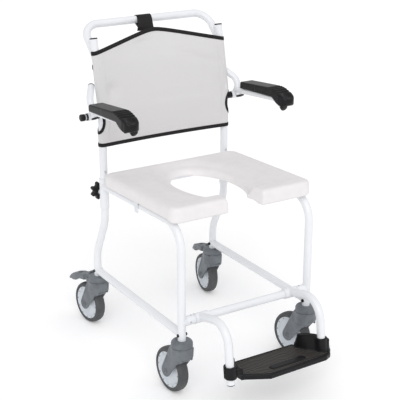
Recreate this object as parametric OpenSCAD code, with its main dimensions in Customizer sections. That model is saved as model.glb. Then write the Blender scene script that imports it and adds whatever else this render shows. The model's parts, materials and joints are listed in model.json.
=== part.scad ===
// Mobile shower commode chair: white steel tube frame on four swivel castors,
// lift-out fabric back with push handle, swing-up arms, swing-away footrest
// and a lift-off padded horseshoe seat.
// Millimetres, +Z up, front of the chair towards -Y, origin on the floor
// under the middle of the chair. Left is the -X side, right the +X side.

/* [Frame] */
// Distance between the left and right side frames, centre to centre
side_spacing = 402; // [400:1:404]
// Outside diameter of the frame tubes
tube_d = 22; // [22:0.5:23]
// Wall thickness of the frame tubes
tube_wall = 1.5; // [1.2:0.1:2]
// Distance from the front legs to the rear legs at the floor
wheelbase = 486.5; // [480:0.5:490]
// Distance from the front legs to the back sockets
socket_setback = 426.5; // [424:0.5:428]
// Height of the front end of the seat rails, at their axis
rail_height = 484; // [480:1:488]
// Fall of the seat rails towards the back, in degrees
rail_fall = 2.5; // [2:0.1:3]
// Height of the lower side rails, at their axis
lower_rail_z = 184; // [184:1:190]
// Height of the front cross tube, at its axis
cross_tube_z = 219.4; // [219:0.2:221]

/* [Castors] */
// Wheel diameter
wheel_d = 125; // [123:1:126]
// Tyre width
tyre_w = 31.5; // [30:0.5:32]
// Horizontal distance from the swivel axis to the axle
castor_trail = 48.6; // [46:0.2:50]
// Trailing directions at rest: front left, front right, rear left, rear right
castor_turns = [2.6, 8.9, 7.5, -8.9];

/* [Back] */
// Height of the pivots of the arms
arm_pivot_z = 673; // [671:1:675]
// Lean of the upper back, in degrees
back_lean = 11.4; // [11:0.1:12]
// Height of the push handle's bar, at its axis
handle_z = 904; // [902:1:906]
// Half width of the fabric back
panel_half_w = 214; // [213:0.5:215]

/* [Footrest] */
// Half distance between the two footrest tubes
foot_tube_x = 145; // [144:1:145]
// Height of the top of the footplate
footplate_z = 110; // [108:1:112]

/* [Seat] */
// Half width of the seat cushion
seat_half_w = 219; // [218:0.5:220]
// Thickness of the seat cushion
seat_t = 34; // [30:1:38]
// Half width of the oval opening
seat_hole_half_w = 90; // [86:1:94]

/* [Hidden] */
$fn = 64;
bore_fn = 48;
skin_gap = 0.3;
run_gap = 0.05;
weld_gap = 0.02;
tube_r = tube_d / 2;
side_x = side_spacing / 2;
front_leg_y = -227.1;
socket_y = front_leg_y + socket_setback;
rear_leg_y = front_leg_y + wheelbase;

// Sockets that take the back
socket_r = 13;
socket_base_z = 401;
socket_top_z = 488;
socket_seat_z = 430;
star_knob_z = 442;

// Castors
axle_z = wheel_d / 2;
tyre_bore_r = 50;
fork_half_w = 23.3;
fork_arm_t = 6;
fork_top_z = 150.7;
cap_base_z = 151;
cap_top_z = 168;
cap_r = 29;
leg_base_z = 163;
castor_bolt_z = 183;
castor_bolt_r = 3;
kingpin_r = 7;
axle_r = 6;
pedal_pivot = [40, 141];
castor_names = ["front_left", "front_right", "rear_left", "rear_right"];
castor_places = [
    [-side_x, front_leg_y, castor_turns[0]],
    [side_x, front_leg_y, castor_turns[1]],
    [-side_x, rear_leg_y, castor_turns[2]],
    [side_x, rear_leg_y, castor_turns[3]]
];

// Back and arms
back_bend_z = 700;
back_top_z = 877;
handle_join_z = 829;
handle_bar_lean = 46;
handle_bend_r = 46;
pin_r = 4;
pin_flange_r = 9.5;
pin_head_r = 7;
arm_x = 235;
arm_tube_r = 9.5;
hub_inner_x = 224.3;
hub_outer_x = 245;
knob_inner_x = 245.3;
knob_outer_x = 267;
pad_w = 46;
pad_x = 243.5;
panel_sleeve_r = 12.5;
panel_t = 12;
strap_x = [-33, 12];

// Footrest
foot_sleeve_r = 14;
foot_lean = 7;
foot_rise = 15;
foot_tube_end_z = 93;
foot_tube_end_y = front_leg_y - 149;
plate_t = 16;
plate_wall_t = 5;
plate_wall_z = 150;

// ---- Helpers ----

function unit(v) = v / norm(v);
function turn(u, v) = acos(max(-1, min(1, u * v)));
function arc(centre, r, from, to, steps) =
    [for (i = [0:steps]) centre + r * [cos(from + (to - from) * i / steps),
                                       sin(from + (to - from) * i / steps)]];

// Places children's origin at p with their axes along x_dir, y_dir and z_dir.
module place(p, x_dir, y_dir, z_dir)
    multmatrix([
        [x_dir.x, y_dir.x, z_dir.x, p.x],
        [x_dir.y, y_dir.y, z_dir.y, p.y],
        [x_dir.z, y_dir.z, z_dir.z, p.z],
        [0, 0, 0, 1]
    ]) children();

// Round rod from a to b; hole is the radius of its bore, 0 for a solid rod.
module rod(a, b, r, hole = 0) {
    along = unit(b - a);
    across = unit(cross(abs(along.x) < 0.9 ? [1, 0, 0] : [0, 1, 0], along));
    place(a, across, cross(along, across), along) difference() {
        cylinder(r = r, h = norm(b - a), $fn = bore_fn);
        if (hole > 0) translate([0, 0, -1]) cylinder(r = hole, h = norm(b - a) + 2, $fn = bore_fn);
    }
}

// Round bend at corner p, from direction u to direction v.
module elbow(p, u, v, bend_r, r, hole = 0) {
    angle = turn(u, v);
    centre = p + unit(v - u) * bend_r / cos(angle / 2);
    start = p - u * bend_r * tan(angle / 2);
    out = (start - centre) / bend_r;
    place(centre, out, u, cross(out, u))
        rotate_extrude(angle = angle, $fn = 96) translate([bend_r, 0]) difference() {
            circle(r = r, $fn = bore_fn);
            if (hole > 0) circle(r = hole, $fn = bore_fn);
        }
}

// Rod with round bends through the corners in path, one bend radius for each inner corner.
module bent_rod(path, bends, r, hole = 0) {
    last = len(path) - 1;
    dirs = [for (i = [0:last - 1]) unit(path[i + 1] - path[i])];
    cuts = [for (i = [0:last]) i == 0 || i == last ? 0
        : bends[i - 1] * tan(turn(dirs[i - 1], dirs[i]) / 2) + weld_gap];
    for (i = [0:last - 1])
        rod(path[i] + dirs[i] * cuts[i], path[i + 1] - dirs[i] * cuts[i + 1], r, hole);
    for (i = [1:1:last - 1])
        elbow(path[i], dirs[i - 1], dirs[i], bends[i - 1], r, hole);
}

// Bent tube, open at both ends.
module bent_tube(path, bends, r, wall)
    bent_rod(path, bends, r, r - wall);

// Shows children on the right side, or mirrored on the left side.
module on_side(side) {
    if (side > 0) children();
    else mirror([1, 0, 0]) children();
}

// Cylinder along X from x0 to x1.
module x_rod(x0, x1, y, z, r)
    translate([x0, y, z]) rotate([0, 90, 0]) cylinder(r = r, h = x1 - x0, $fn = bore_fn);

// Flat outline given in Y and Z, extruded along X from x0 to x1.
module side_plate(points, x0, x1)
    translate([x0, 0, 0]) rotate([90, 0, 90])
        linear_extrude(height = x1 - x0) polygon(points);

// ---- Frame ----

rail_drop = tan(rail_fall);
function rail_z(y) = rail_height - (y - front_leg_y) * rail_drop;

side_path = [
    [side_x, front_leg_y, leg_base_z],
    [side_x, front_leg_y, rail_height],
    [side_x, socket_y, rail_z(socket_y)]
];
side_bend_r = 65;

module bolt_bore(y)
    x_rod(side_x - 20, side_x + 20, y, castor_bolt_z, castor_bolt_r + run_gap);

module side_tube(side)
    color("white") on_side(side) difference() {
        bent_tube(side_path, [side_bend_r], tube_r, tube_wall);
        translate([side_x, socket_y, socket_base_z]) cylinder(r = socket_r, h = 90);
        bolt_bore(front_leg_y);
    }

leg_bend_r = 120;
rear_leg_path = [
    [side_x, socket_y, socket_seat_z - skin_gap],
    [side_x, socket_y, 359.2],
    [side_x, rear_leg_y, 240.8],
    [side_x, rear_leg_y, leg_base_z]
];

module rear_leg(side)
    color("white") on_side(side) difference() {
        bent_tube(rear_leg_path, [leg_bend_r, leg_bend_r], tube_r, tube_wall);
        bolt_bore(rear_leg_y);
    }

// Socket that takes the upright of the back, with a threaded boss for the star knob.
boss_r = 8;
boss_end = 22;
module back_socket(side)
    color("white") on_side(side) difference() {
        union() {
            translate([side_x, socket_y, socket_base_z])
                cylinder(r = socket_r, h = socket_top_z - socket_base_z);
            translate([side_x, socket_y, star_knob_z]) rotate([-90, 0, 0])
                cylinder(r = boss_r, h = boss_end, $fn = bore_fn);
        }
        translate([side_x, socket_y, socket_base_z - 1])
            cylinder(r = tube_r, h = socket_seat_z - socket_base_z + 1, $fn = bore_fn);
        translate([side_x, socket_y, socket_seat_z - 1])
            cylinder(r = tube_r + run_gap, h = socket_top_z, $fn = bore_fn);
        translate([side_x, socket_y, star_knob_z]) rotate([-90, 0, 0])
            cylinder(r = pin_r + run_gap, h = boss_end + 1, $fn = bore_fn);
    }

module leg_cut(y)
    translate([side_x, y, 0]) cylinder(r = tube_r, h = 600, $fn = bore_fn);

module lower_rail(side)
    color("white") on_side(side) difference() {
        bent_tube([[side_x, front_leg_y, lower_rail_z], [side_x, rear_leg_y, lower_rail_z]],
            [], tube_r, tube_wall);
        leg_cut(front_leg_y);
        leg_cut(rear_leg_y);
        bolt_bore(front_leg_y);
        bolt_bore(rear_leg_y);
    }

module cross_tube(y, z, cut_far)
    difference() {
        bent_tube([[-side_x, y, z], [side_x, y, z]], [], tube_r, tube_wall);
        for (side = [-1, 1])
            on_side(side) if (cut_far) rod([side_x, y - 40, rail_z(y - 40)],
                [side_x, y + 30, rail_z(y + 30)], tube_r);
            else leg_cut(y);
    }

module front_cross_tube()
    color("white") cross_tube(front_leg_y, cross_tube_z, false);

rear_cross_y = socket_y - 32;
module rear_cross_tube()
    color("white") cross_tube(rear_cross_y, rail_z(rear_cross_y), true);

collar_x = [166, 190];
collar_r = 13;
collar_screw_x = 181;
collar_screw_r = 2.5;
module collar_screw_pair(end)
    for (side = [-1, 1], tilt = [0, 90])
        on_side(side) translate([collar_screw_x - (tilt == 0 ? 0 : 7.5), front_leg_y, cross_tube_z])
            rotate([90 - tilt, 0, 0]) translate([0, 0, tube_r + 0.2])
                cylinder(r = collar_screw_r, h = end - tube_r - 0.2, $fn = bore_fn);

module cross_tube_collars()
    color("white") difference() {
        for (side = [-1, 1])
            on_side(side) difference() {
                x_rod(collar_x[0], collar_x[1], front_leg_y, cross_tube_z, collar_r);
                x_rod(collar_x[0] - 1, collar_x[1] + 1, front_leg_y, cross_tube_z, tube_r);
                leg_cut(front_leg_y);
            }
        collar_screw_pair(collar_r + 1);
    }

module collar_screws()
    color("silver") collar_screw_pair(collar_r + 0.8);

// ---- Castors ----

// Moves a castor drawn at the origin, trailing towards +Y, to its leg.
module at_castor(i)
    translate([castor_places[i].x, castor_places[i].y, 0])
        rotate([0, 0, castor_places[i].z]) children();

stem_top_z = 212;
module castor_caps()
    color("dimgray") for (place_of = castor_places)
        translate([place_of.x, place_of.y, 0]) difference() {
            union() {
                rotate_extrude() polygon([
                    [0, cap_base_z], [cap_r, cap_base_z], [cap_r, cap_top_z - 6],
                    [cap_r - 3, cap_top_z - 1.5], [cap_r - 8, cap_top_z], [0, cap_top_z]
                ]);
                translate([0, 0, cap_base_z])
                    cylinder(r = tube_r - tube_wall, h = stem_top_z - cap_base_z);
                translate([0, 0, 128]) cylinder(r = kingpin_r, h = 30, $fn = bore_fn);
            }
            difference() {
                translate([0, 0, leg_base_z]) cylinder(r = tube_r, h = 10, $fn = bore_fn);
                cylinder(r = tube_r - tube_wall, h = 300, $fn = bore_fn);
            }
            x_rod(-cap_r, cap_r, 0, castor_bolt_z, castor_bolt_r + run_gap);
        }

// Bolt through each leg and castor stem, with a domed head on the inner side.
bolt_head_r = 5;
module castor_bolts()
    color("dimgray") for (side = [-1, 1], y = [front_leg_y, rear_leg_y])
        on_side(side) union() {
            x_rod(side_x - tube_r - 5, side_x + tube_r + 3, y, castor_bolt_z, castor_bolt_r);
            x_rod(side_x - tube_r - 5, side_x - tube_r, y, castor_bolt_z, bolt_head_r);
        }

// Side outline of a fork arm: from the housing down to the round axle boss.
boss_arm_r = 18;
arm_outline = concat(
    [[-21, 122], [-24, fork_top_z - 1], [24, fork_top_z - 1]],
    arc([castor_trail, axle_z], boss_arm_r, 20, -140, 12)
);

module castor_fork(i)
    color("slategray") at_castor(i) difference() {
        union() {
            translate([0, 0, 112]) cylinder(r = cap_r, h = fork_top_z - 112);
            side_plate(arm_outline, -fork_half_w, fork_half_w);
            if (i > 1) side_plate([[20, 130], [20, 148], [47, 148], [47, 132]], -14, 14);
        }
        x_rod(-17.3, 17.3, castor_trail, axle_z, wheel_d / 2 + 3.5);
        translate([-17.3, castor_trail, 0]) cube([34.6, 60, 104]);
        translate([0, 0, 100]) cylinder(r = kingpin_r + run_gap, h = 60, $fn = bore_fn);
        x_rod(-40, 40, castor_trail, axle_z, axle_r);
        if (i > 1) {
            x_rod(-20, 20, pedal_pivot.x, pedal_pivot.y, 3 + run_gap);
            translate([-9.3, 33, 120]) cube([18.6, 30, 40]);
        }
    }

module axle(i)
    color("silver") at_castor(i)
        x_rod(-fork_half_w + 0.5, fork_half_w - 0.5, castor_trail, axle_z, axle_r);

module wheel_turned(i)
    at_castor(i) translate([0, castor_trail, axle_z]) rotate([0, 90, 0]) children();

rim_w = 27;
module wheel(i)
    color("gainsboro") wheel_turned(i) difference() {
        union() {
            cylinder(r = tyre_bore_r, h = rim_w, center = true);
            cylinder(r = 15, h = 33.6, center = true);
        }
        for (end = [-1, 1])
            translate([0, 0, end * rim_w / 2]) rotate_extrude()
                polygon([[16, -4.5], [16, 4.5], [44, 4.5], [44, -2.5]]);
        cylinder(r = axle_r + run_gap, h = 50, center = true, $fn = bore_fn);
    }

tyre_edge_r = 8;
module tyre(i)
    color("dimgray") wheel_turned(i) rotate_extrude($fn = 96) polygon(concat(
        [[tyre_bore_r, -tyre_w / 2 + 2], [tyre_bore_r + 2, -tyre_w / 2]],
        arc([wheel_d / 2 - tyre_edge_r, -tyre_w / 2 + tyre_edge_r], tyre_edge_r, -90, 0, 6),
        arc([wheel_d / 2 - tyre_edge_r, tyre_w / 2 - tyre_edge_r], tyre_edge_r, 0, 90, 6),
        [[tyre_bore_r + 2, tyre_w / 2], [tyre_bore_r, tyre_w / 2 - 2]]
    ));

// Rocker pedal: a wide toe plate behind the castor and a release tab beside the cap.
pedal_outline = [
    [34, 136], [33, 150], [31, 168], [37, 169], [45, 152], [90, 141], [130, 121], [152, 108],
    [150, 103], [128, 112], [88, 130], [46, 136], [40, 135]
];
module brake_pedal(i)
    color("slategray") at_castor(i) difference() {
        union() {
            side_plate(pedal_outline, -9, 9);
            intersection() {
                side_plate(pedal_outline, -16, 16);
                translate([-20, 56, 90]) cube([40, 100, 80]);
            }
            x_rod(-14, 14, pedal_pivot.x, pedal_pivot.y, 3);
        }
        translate([-7, 84, 90]) cube([14, 22, 80]);
    }

// ---- Star knobs on the sockets ----

knob_lobes = 7;
knob_lobe_r = 5.2;
knob_ring_r = 21;
module star_knob(side)
    color("#222222") on_side(side)
        translate([side_x, socket_y, star_knob_z]) rotate([-90, 0, 0]) union() {
            translate([0, 0, tube_r + skin_gap])
                cylinder(r = pin_r, h = 30, $fn = bore_fn);
            translate([0, 0, boss_end + skin_gap]) cylinder(r = 10, h = 12);
            translate([0, 0, boss_end + 5]) {
                cylinder(r = knob_ring_r - 1, h = 15);
                for (k = [0:knob_lobes - 1])
                    rotate([0, 0, 360 / knob_lobes * k]) translate([knob_ring_r, 0, 0])
                        cylinder(r = knob_lobe_r, h = 15, $fn = 24);
            }
        }

// ---- Back ----

lean_dir = [0, sin(back_lean), cos(back_lean)];
lean_back = [0, cos(back_lean), -sin(back_lean)];
upright_bend = [side_x, socket_y, back_bend_z];
upright_top = upright_bend + lean_dir * (back_top_z - back_bend_z) / lean_dir.z;
upright_bend_r = 150;

module back_upright(side)
    color("white") on_side(side) difference() {
        bent_tube([[side_x, socket_y, socket_seat_z], upright_bend, upright_top],
            [upright_bend_r], tube_r, tube_wall);
        x_rod(side_x - 20, side_x + 20, socket_y, arm_pivot_z, pin_r);
        translate([side_x, socket_y, upright_screw_z]) rotate([90, 0, 0])
            cylinder(r = 2, h = 20, $fn = bore_fn);
    }

// Flat black plugs in the tops of the uprights.
module upright_plugs()
    color("#222222") for (side = [-1, 1])
        on_side(side) union() {
            rod(upright_top, upright_top + lean_dir * 3.5, tube_r);
            rod(upright_top - lean_dir * 12, upright_top + lean_dir, tube_r - tube_wall);
        }

upright_screw_z = 510;
module upright_screws()
    color("silver") for (side = [-1, 1])
        on_side(side) translate([side_x, socket_y, upright_screw_z]) rotate([90, 0, 0]) {
            cylinder(r = 2, h = tube_r + 0.5, $fn = bore_fn);
            translate([0, 0, tube_r]) cylinder(r = 3.5, h = 1.5, $fn = bore_fn);
        }

// The push handle's ends are coped and welded to the backs of the uprights.
handle_join_y = upright_bend.y + (handle_join_z - back_bend_z) * tan(back_lean);
handle_bar_y = handle_join_y + (handle_z - handle_join_z) * tan(handle_bar_lean);
handle_path = [
    [side_x, handle_join_y, handle_join_z], [side_x, handle_bar_y, handle_z],
    [-side_x, handle_bar_y, handle_z], [-side_x, handle_join_y, handle_join_z]
];

module upright_cut()
    for (side = [-1, 1])
        on_side(side) rod(upright_bend, upright_top + lean_dir * 20, tube_r + weld_gap);

module push_handle()
    color("white") difference() {
        bent_tube(handle_path, [handle_bend_r, handle_bend_r], tube_r, tube_wall);
        upright_cut();
    }

// Fabric back: a flat sleeve with a round pocket over each upright.
panel_low_z = 584;
panel_corner_z = 844;
panel_peak_z = 886;
panel_peak_y = front_leg_y + 488;
panel_pull_z = 838;
notch_low_z = 626;
notch_high_z = 685;
notch_depth = 10;

module panel_front_outline() {
    notch_half = (notch_high_z - notch_low_z) / 2;
    notch_r = (notch_half * notch_half + notch_depth * notch_depth) / (2 * notch_depth);
    notch_turn = asin(notch_half / notch_r);
    notch_mid = (notch_low_z + notch_high_z) / 2;
    right = concat(
        [[0, panel_low_z], [panel_half_w, panel_low_z]],
        arc([panel_half_w - notch_depth + notch_r, notch_mid], notch_r,
            180 + notch_turn, 180 - notch_turn, 8),
        [[panel_half_w, panel_corner_z], [0, panel_peak_z]]
    );
    union() {
        polygon(right);
        mirror([1, 0]) polygon(right);
    }
}

module back_panel()
    color("whitesmoke") difference() {
        intersection() {
            union() {
                for (side = [-1, 1])
                    on_side(side) bent_rod([[side_x, socket_y, panel_low_z - 1], upright_bend,
                        upright_top], [upright_bend_r], panel_sleeve_r);
                side_plate(panel_side_outline(-panel_t / 2, panel_t / 2), -side_x, side_x);
            }
            translate([0, 300, 0]) rotate([90, 0, 0])
                linear_extrude(height = 200) panel_front_outline();
        }
        for (side = [-1, 1])
            on_side(side) {
                bent_rod([[side_x, socket_y, panel_low_z - 5], upright_bend,
                    upright_top + lean_dir * 20], [upright_bend_r], tube_r + 0.2);
                rod(handle_path[0], handle_path[1], tube_r + skin_gap);
                x_rod(side_x - 30, side_x + 30, socket_y, arm_pivot_z, pin_flange_r + skin_gap);
            }
    }

// Side outline of a sheet that follows the uprights, between two offsets from their axis.
// Its top is pulled back towards the push handle's bar.
function panel_side_outline(front, rear) =
    let (cut = upright_bend_r * tan(back_lean / 2),
         centre = [socket_y + upright_bend_r, back_bend_z - cut],
         across = [lean_back.y, lean_back.z],
         pull = [socket_y + (panel_pull_z - back_bend_z) * tan(back_lean), panel_pull_z],
         peak = [panel_peak_y, panel_peak_z],
         top = peak + unit(peak - pull) * 20)
    concat(
        [[socket_y + front, panel_low_z - 1]],
        arc(centre, upright_bend_r - front, 180, 180 - back_lean, 6),
        [pull + front * across, top + front * across, top + rear * across, pull + rear * across],
        arc(centre, upright_bend_r - rear, 180 - back_lean, 180, 6),
        [[socket_y + rear, panel_low_z - 1]]
    );

// Webbing strap: a closed loop round the push handle's bar that ends behind the fabric's top.
strap_t = 2;
strap_foot = [panel_peak_y + 11, panel_peak_z - 4];
module handle_strap() {
    bar = [handle_bar_y, handle_z];
    in_r = tube_r + 0.2;
    color("#222222") difference() {
        side_plate(concat(arc(bar, in_r + strap_t, -79, 141, 16),
            [strap_foot + [-4, 3], strap_foot + [-3, -1], strap_foot + [1, -2]]),
            strap_x[0], strap_x[1]);
        side_plate(concat(arc(bar, in_r, -76, 138, 16), [strap_foot + [4, 4]]),
            strap_x[0] - 1, strap_x[1] + 1);
    }
}

// Pivot pin of each arm, with a black flange against the upright.
module arm_pivot_pins()
    color("#222222") for (side = [-1, 1])
        on_side(side) union() {
            x_rod(side_x - tube_r - 2, knob_outer_x - 6, socket_y, arm_pivot_z, pin_r);
            x_rod(side_x + tube_r, hub_inner_x - 0.3, socket_y, arm_pivot_z,
                pin_flange_r);
            x_rod(side_x - tube_r - 5, side_x - tube_r, socket_y, arm_pivot_z, pin_head_r);
        }

// ---- Arms ----

arm_low = [arm_x + 1, socket_y - 28, arm_pivot_z + 3];
arm_mid = [arm_x + 4, socket_y - 5, arm_pivot_z + 48];
arm_end = [side_x + 14, socket_y + 32, arm_pivot_z + 75];
arm_bend_r = 35;
arm_front_bend_r = 40;
hub_r = 11;
hub_lug_t = 12;
arm_front = [
    [arm_x, socket_y - 22, arm_pivot_z + 18.5],
    [arm_x, front_leg_y + 214, arm_pivot_z + 35],
    [arm_x, front_leg_y + 180, arm_pivot_z + 19.5]
];
plug_len = 8;

module arm_curve(r, hole = 0)
    bent_rod([arm_low, arm_mid, arm_end], [arm_bend_r], r, hole);

// Lug that ties the hub to the curved tube.
hub_lug = [
    [socket_y, arm_pivot_z + hub_r - 1], [socket_y - 4, arm_pivot_z - hub_r + 1],
    [socket_y - 24, arm_pivot_z + 6], [socket_y - 12, arm_pivot_z + 30]
];

module arm_tube(side)
    color("white") on_side(side) {
        arm_curve(arm_tube_r, arm_tube_r - tube_wall);
        difference() {
            bent_tube(arm_front, [arm_front_bend_r], arm_tube_r, tube_wall);
            arm_curve(arm_tube_r + weld_gap);
        }
        difference() {
            union() {
                x_rod(hub_inner_x, hub_outer_x, socket_y, arm_pivot_z, hub_r);
                side_plate(hub_lug, arm_x - hub_lug_t / 2, arm_x + hub_lug_t / 2);
            }
            arm_curve(arm_tube_r + weld_gap);
            x_rod(hub_inner_x - 1, hub_outer_x + 1, socket_y, arm_pivot_z, pin_r + run_gap);
        }
    }

// End plugs of the arm and the rubber stop that rests on the back of the upright.
module arm_plugs(side) {
    low_dir = unit(arm_low - arm_mid);
    front_dir = unit(arm_front[2] - arm_front[1]);
    end_dir = unit(arm_end - arm_mid);
    color("#222222") on_side(side) {
        rod(arm_low, arm_low + low_dir * 4, arm_tube_r + 0.5);
        rod(arm_front[2], arm_front[2] + front_dir * plug_len, arm_tube_r + 1);
        rod(arm_end, arm_end + end_dir * 4, arm_tube_r);
    }
}

// Armrest pad: a flat top that droops over the front bend; a channel below takes the tube.
pad_side = [for (p = [
    [378, 703], [376, 720], [373, 723], [226, 737], [210, 735.5], [195, 731], [180, 726],
    [168, 721], [160, 714], [157, 707], [163, 698], [176, 692], [196, 698], [218, 711]
]) [front_leg_y + p.x, p.y]];
pad_channel_r = arm_tube_r + 1.3;

module arm_pad(side)
    color("#222222") on_side(side) difference() {
        side_plate(pad_side, pad_x - pad_w / 2, pad_x + pad_w / 2);
        side_plate([
            [arm_front[0].y + 20, arm_front[0].z + pad_channel_r - 1.8],
            [arm_front[1].y, arm_front[1].z + pad_channel_r],
            [arm_front[2].y - 30, arm_front[2].z - 13.7 + pad_channel_r / cos(24.5)],
            [arm_front[2].y - 30, 600], [arm_front[0].y + 20, 600]
        ], arm_x - 60, arm_x + pad_channel_r);
    }

module arm_knob(side)
    color("#222222") on_side(side) difference() {
        union() {
            x_rod(knob_inner_x, knob_inner_x + 4, socket_y, arm_pivot_z, 10);
            x_rod(knob_inner_x, knob_outer_x - 3, socket_y, arm_pivot_z, 8);
            x_rod(knob_inner_x + 8, knob_outer_x, socket_y, arm_pivot_z, 9.5);
        }
        x_rod(knob_inner_x - 1, knob_outer_x - 5.7, socket_y, arm_pivot_z, pin_r + run_gap);
    }

// ---- Footrest ----

foot_down = [0, -sin(foot_lean), -cos(foot_lean)];
foot_end = [foot_tube_x, foot_tube_end_y, foot_tube_end_z];
foot_start = [foot_tube_x, front_leg_y, cross_tube_z + 2];
foot_corner_y = foot_tube_end_y + 162.6 * tan(foot_lean);
foot_corner = [foot_tube_x, foot_corner_y,
    foot_start.z + (front_leg_y - foot_corner_y) * tan(foot_rise)];
foot_bend_r = 55;
foot_sleeve_x = [122, 163];

module foot_sleeve(r)
    x_rod(foot_sleeve_x[0], foot_sleeve_x[1], front_leg_y, cross_tube_z, r);

module footrest_tube(side)
    color("white") on_side(side) {
        difference() {
            foot_sleeve(foot_sleeve_r);
            x_rod(foot_sleeve_x[0] - 1, foot_sleeve_x[1] + 1, front_leg_y, cross_tube_z,
                tube_r + run_gap);
        }
        difference() {
            bent_tube([foot_start, foot_corner, foot_end], [foot_bend_r], tube_r, tube_wall);
            foot_sleeve(foot_sleeve_r + weld_gap);
        }
    }

module footrest_plugs()
    color("#222222") for (side = [-1, 1])
        on_side(side) union() {
            rod(foot_end, foot_end + foot_down * 3, tube_r - 0.5);
            rod(foot_end - foot_down * 12, foot_end + foot_down, tube_r - tube_wall);
        }

// Footplate: a tread with raised guards at its ends and a clamp round each footrest tube.
clamp_r = 17;
clamp_z = [107, 146];
clamp_y = front_leg_y - 147;
plate_outline = [for (p = [
    [-100, -78], [-113, -92], [-113, -149], [-45, -185],
    [137, -180], [162, -152], [162, -128], [103, -92], [98, -78]
]) [p.x, front_leg_y + p.y]];

// Upright wall on the plate between two plan points, with a top height at each.
module plate_wall(a, b, top_a, top_b) {
    along = unit([b.x - a.x, b.y - a.y, 0]);
    base = footplate_z - plate_t + 2;
    reach = norm(b - a);
    place([a.x, front_leg_y + a.y, 0], along, [0, 0, 1], cross(along, [0, 0, 1]))
        linear_extrude(height = plate_wall_t, center = true)
            polygon([[0, base], [reach, base], [reach, top_b], [0, top_a]]);
}

module footplate()
    color("#222222") difference() {
        union() {
            translate([0, 0, footplate_z - plate_t])
                linear_extrude(height = plate_t) polygon(plate_outline);
            plate_wall([102, -88], [106, -96], footplate_z + 4, plate_wall_z);
            plate_wall([104, -94], [134, -120], plate_wall_z, plate_wall_z);
            plate_wall([-98, -90], [-132, -122], plate_wall_z - 16, plate_wall_z);
            plate_wall([-132, -122], [-106, -157], plate_wall_z, footplate_z + 2);
            for (side = [-1, 1])
                on_side(side) clamp_body();
            translate([-130, clamp_y - 8, footplate_z - 3]) cube([20, 20, 24]);
            translate([122, clamp_y + 8, footplate_z - 3]) cube([12, 22, 38]);
        }
        for (side = [-1, 1])
            on_side(side) rod(foot_end + foot_down * 20, foot_end - foot_down * 80,
                tube_r + run_gap);
    }

// Clamp round a footrest tube.
module clamp_body()
    intersection() {
        rod(foot_end + foot_down * 20, foot_end - foot_down * 90, clamp_r);
        translate([100, clamp_y - 60, clamp_z[0]])
            cube([100, 120, clamp_z[1] - clamp_z[0]]);
    }

// ---- Seat ----

seat_front_y = front_leg_y + 8;
seat_rear_y = front_leg_y + 404;
seat_corner_r = 28;
seat_hole_y = front_leg_y + 200;
seat_hole_front = 158;
seat_hole_rear = 146;
seat_slot_w = 54;
seat_slot_neck = 46;
seat_neck_y = front_leg_y + 75;
rail_gap = tube_r / cos(rail_fall) + skin_gap;

module seat_plan()
    difference() {
        translate([0, seat_front_y]) rounded_plan(seat_half_w, seat_rear_y - seat_front_y);
        polygon([for (k = [0:59]) seat_hole_point(6 * k)]);
        polygon([[-seat_slot_w, seat_front_y - 1], [-seat_slot_neck, seat_neck_y],
            [seat_slot_neck, seat_neck_y], [seat_slot_w, seat_front_y - 1]]);
    }

// A point on the oval opening, which is longer towards the front.
function seat_hole_point(angle) = [
    seat_hole_half_w * cos(angle),
    seat_hole_y + (angle < 180 ? seat_hole_rear : seat_hole_front) * sin(angle)
];

module rounded_plan(half_w, depth)
    polygon(concat(
        arc([half_w - seat_corner_r, seat_corner_r], seat_corner_r, -90, 0, 8),
        arc([half_w - seat_corner_r, depth - seat_corner_r], seat_corner_r, 0, 90, 8),
        arc([-half_w + seat_corner_r, depth - seat_corner_r], seat_corner_r, 90, 180, 8),
        arc([-half_w + seat_corner_r, seat_corner_r], seat_corner_r, 180, 270, 8)
    ));

module on_rails()
    translate([0, front_leg_y, rail_height + rail_gap]) rotate([-rail_fall, 0, 0])
        translate([0, -front_leg_y, 0]) children();

module seat_cushion()
    color("white") on_rails() linear_extrude(height = seat_t) seat_plan();

// Saddles under the seat that straddle the rails.
clip_y = front_leg_y + 213;
module seat_clips()
    color("whitesmoke") on_rails() for (side = [-1, 1])
        on_side(side) for (wall_x = [side_x - tube_r - 3.3, side_x + tube_r + 0.3])
            translate([wall_x, clip_y - 8, -29]) cube([3, 16, 29]);

// ---- Assembly ----

side_tube(-1);  // side_tube_left
side_tube(1);  // side_tube_right
rear_leg(-1);  // rear_leg_left
rear_leg(1);  // rear_leg_right
back_socket(-1);  // back_socket_left
back_socket(1);  // back_socket_right
lower_rail(-1);  // lower_rail_left
lower_rail(1);  // lower_rail_right
front_cross_tube();
cross_tube_collars();
rear_cross_tube();
collar_screws();
castor_caps();
castor_bolts();
for (i = [0:3]) {
    castor_fork(i);
    axle(i);
    wheel(i);
    tyre(i);
}
brake_pedal(2);  // brake_pedal_left
brake_pedal(3);  // brake_pedal_right
star_knob(-1);  // star_knob_left
star_knob(1);  // star_knob_right
back_upright(-1);  // back_upright_left
back_upright(1);  // back_upright_right
upright_plugs();
upright_screws();
push_handle();
back_panel();
handle_strap();
arm_pivot_pins();
arm_tube(-1);  // arm_tube_left
arm_tube(1);  // arm_tube_right
arm_plugs(-1);  // arm_plugs_left
arm_plugs(1);  // arm_plugs_right
arm_pad(-1);  // arm_pad_left
arm_pad(1);  // arm_pad_right
arm_knob(-1);  // arm_knob_left
arm_knob(1);  // arm_knob_right
footrest_tube(-1);  // footrest_tube_left
footrest_tube(1);  // footrest_tube_right
footrest_plugs();
footplate();
seat_cushion();
seat_clips();
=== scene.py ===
"""Mobile shower commode chair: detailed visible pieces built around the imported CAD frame."""
import json
from math import cos, hypot, pi, radians, sin, sqrt, tan

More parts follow.
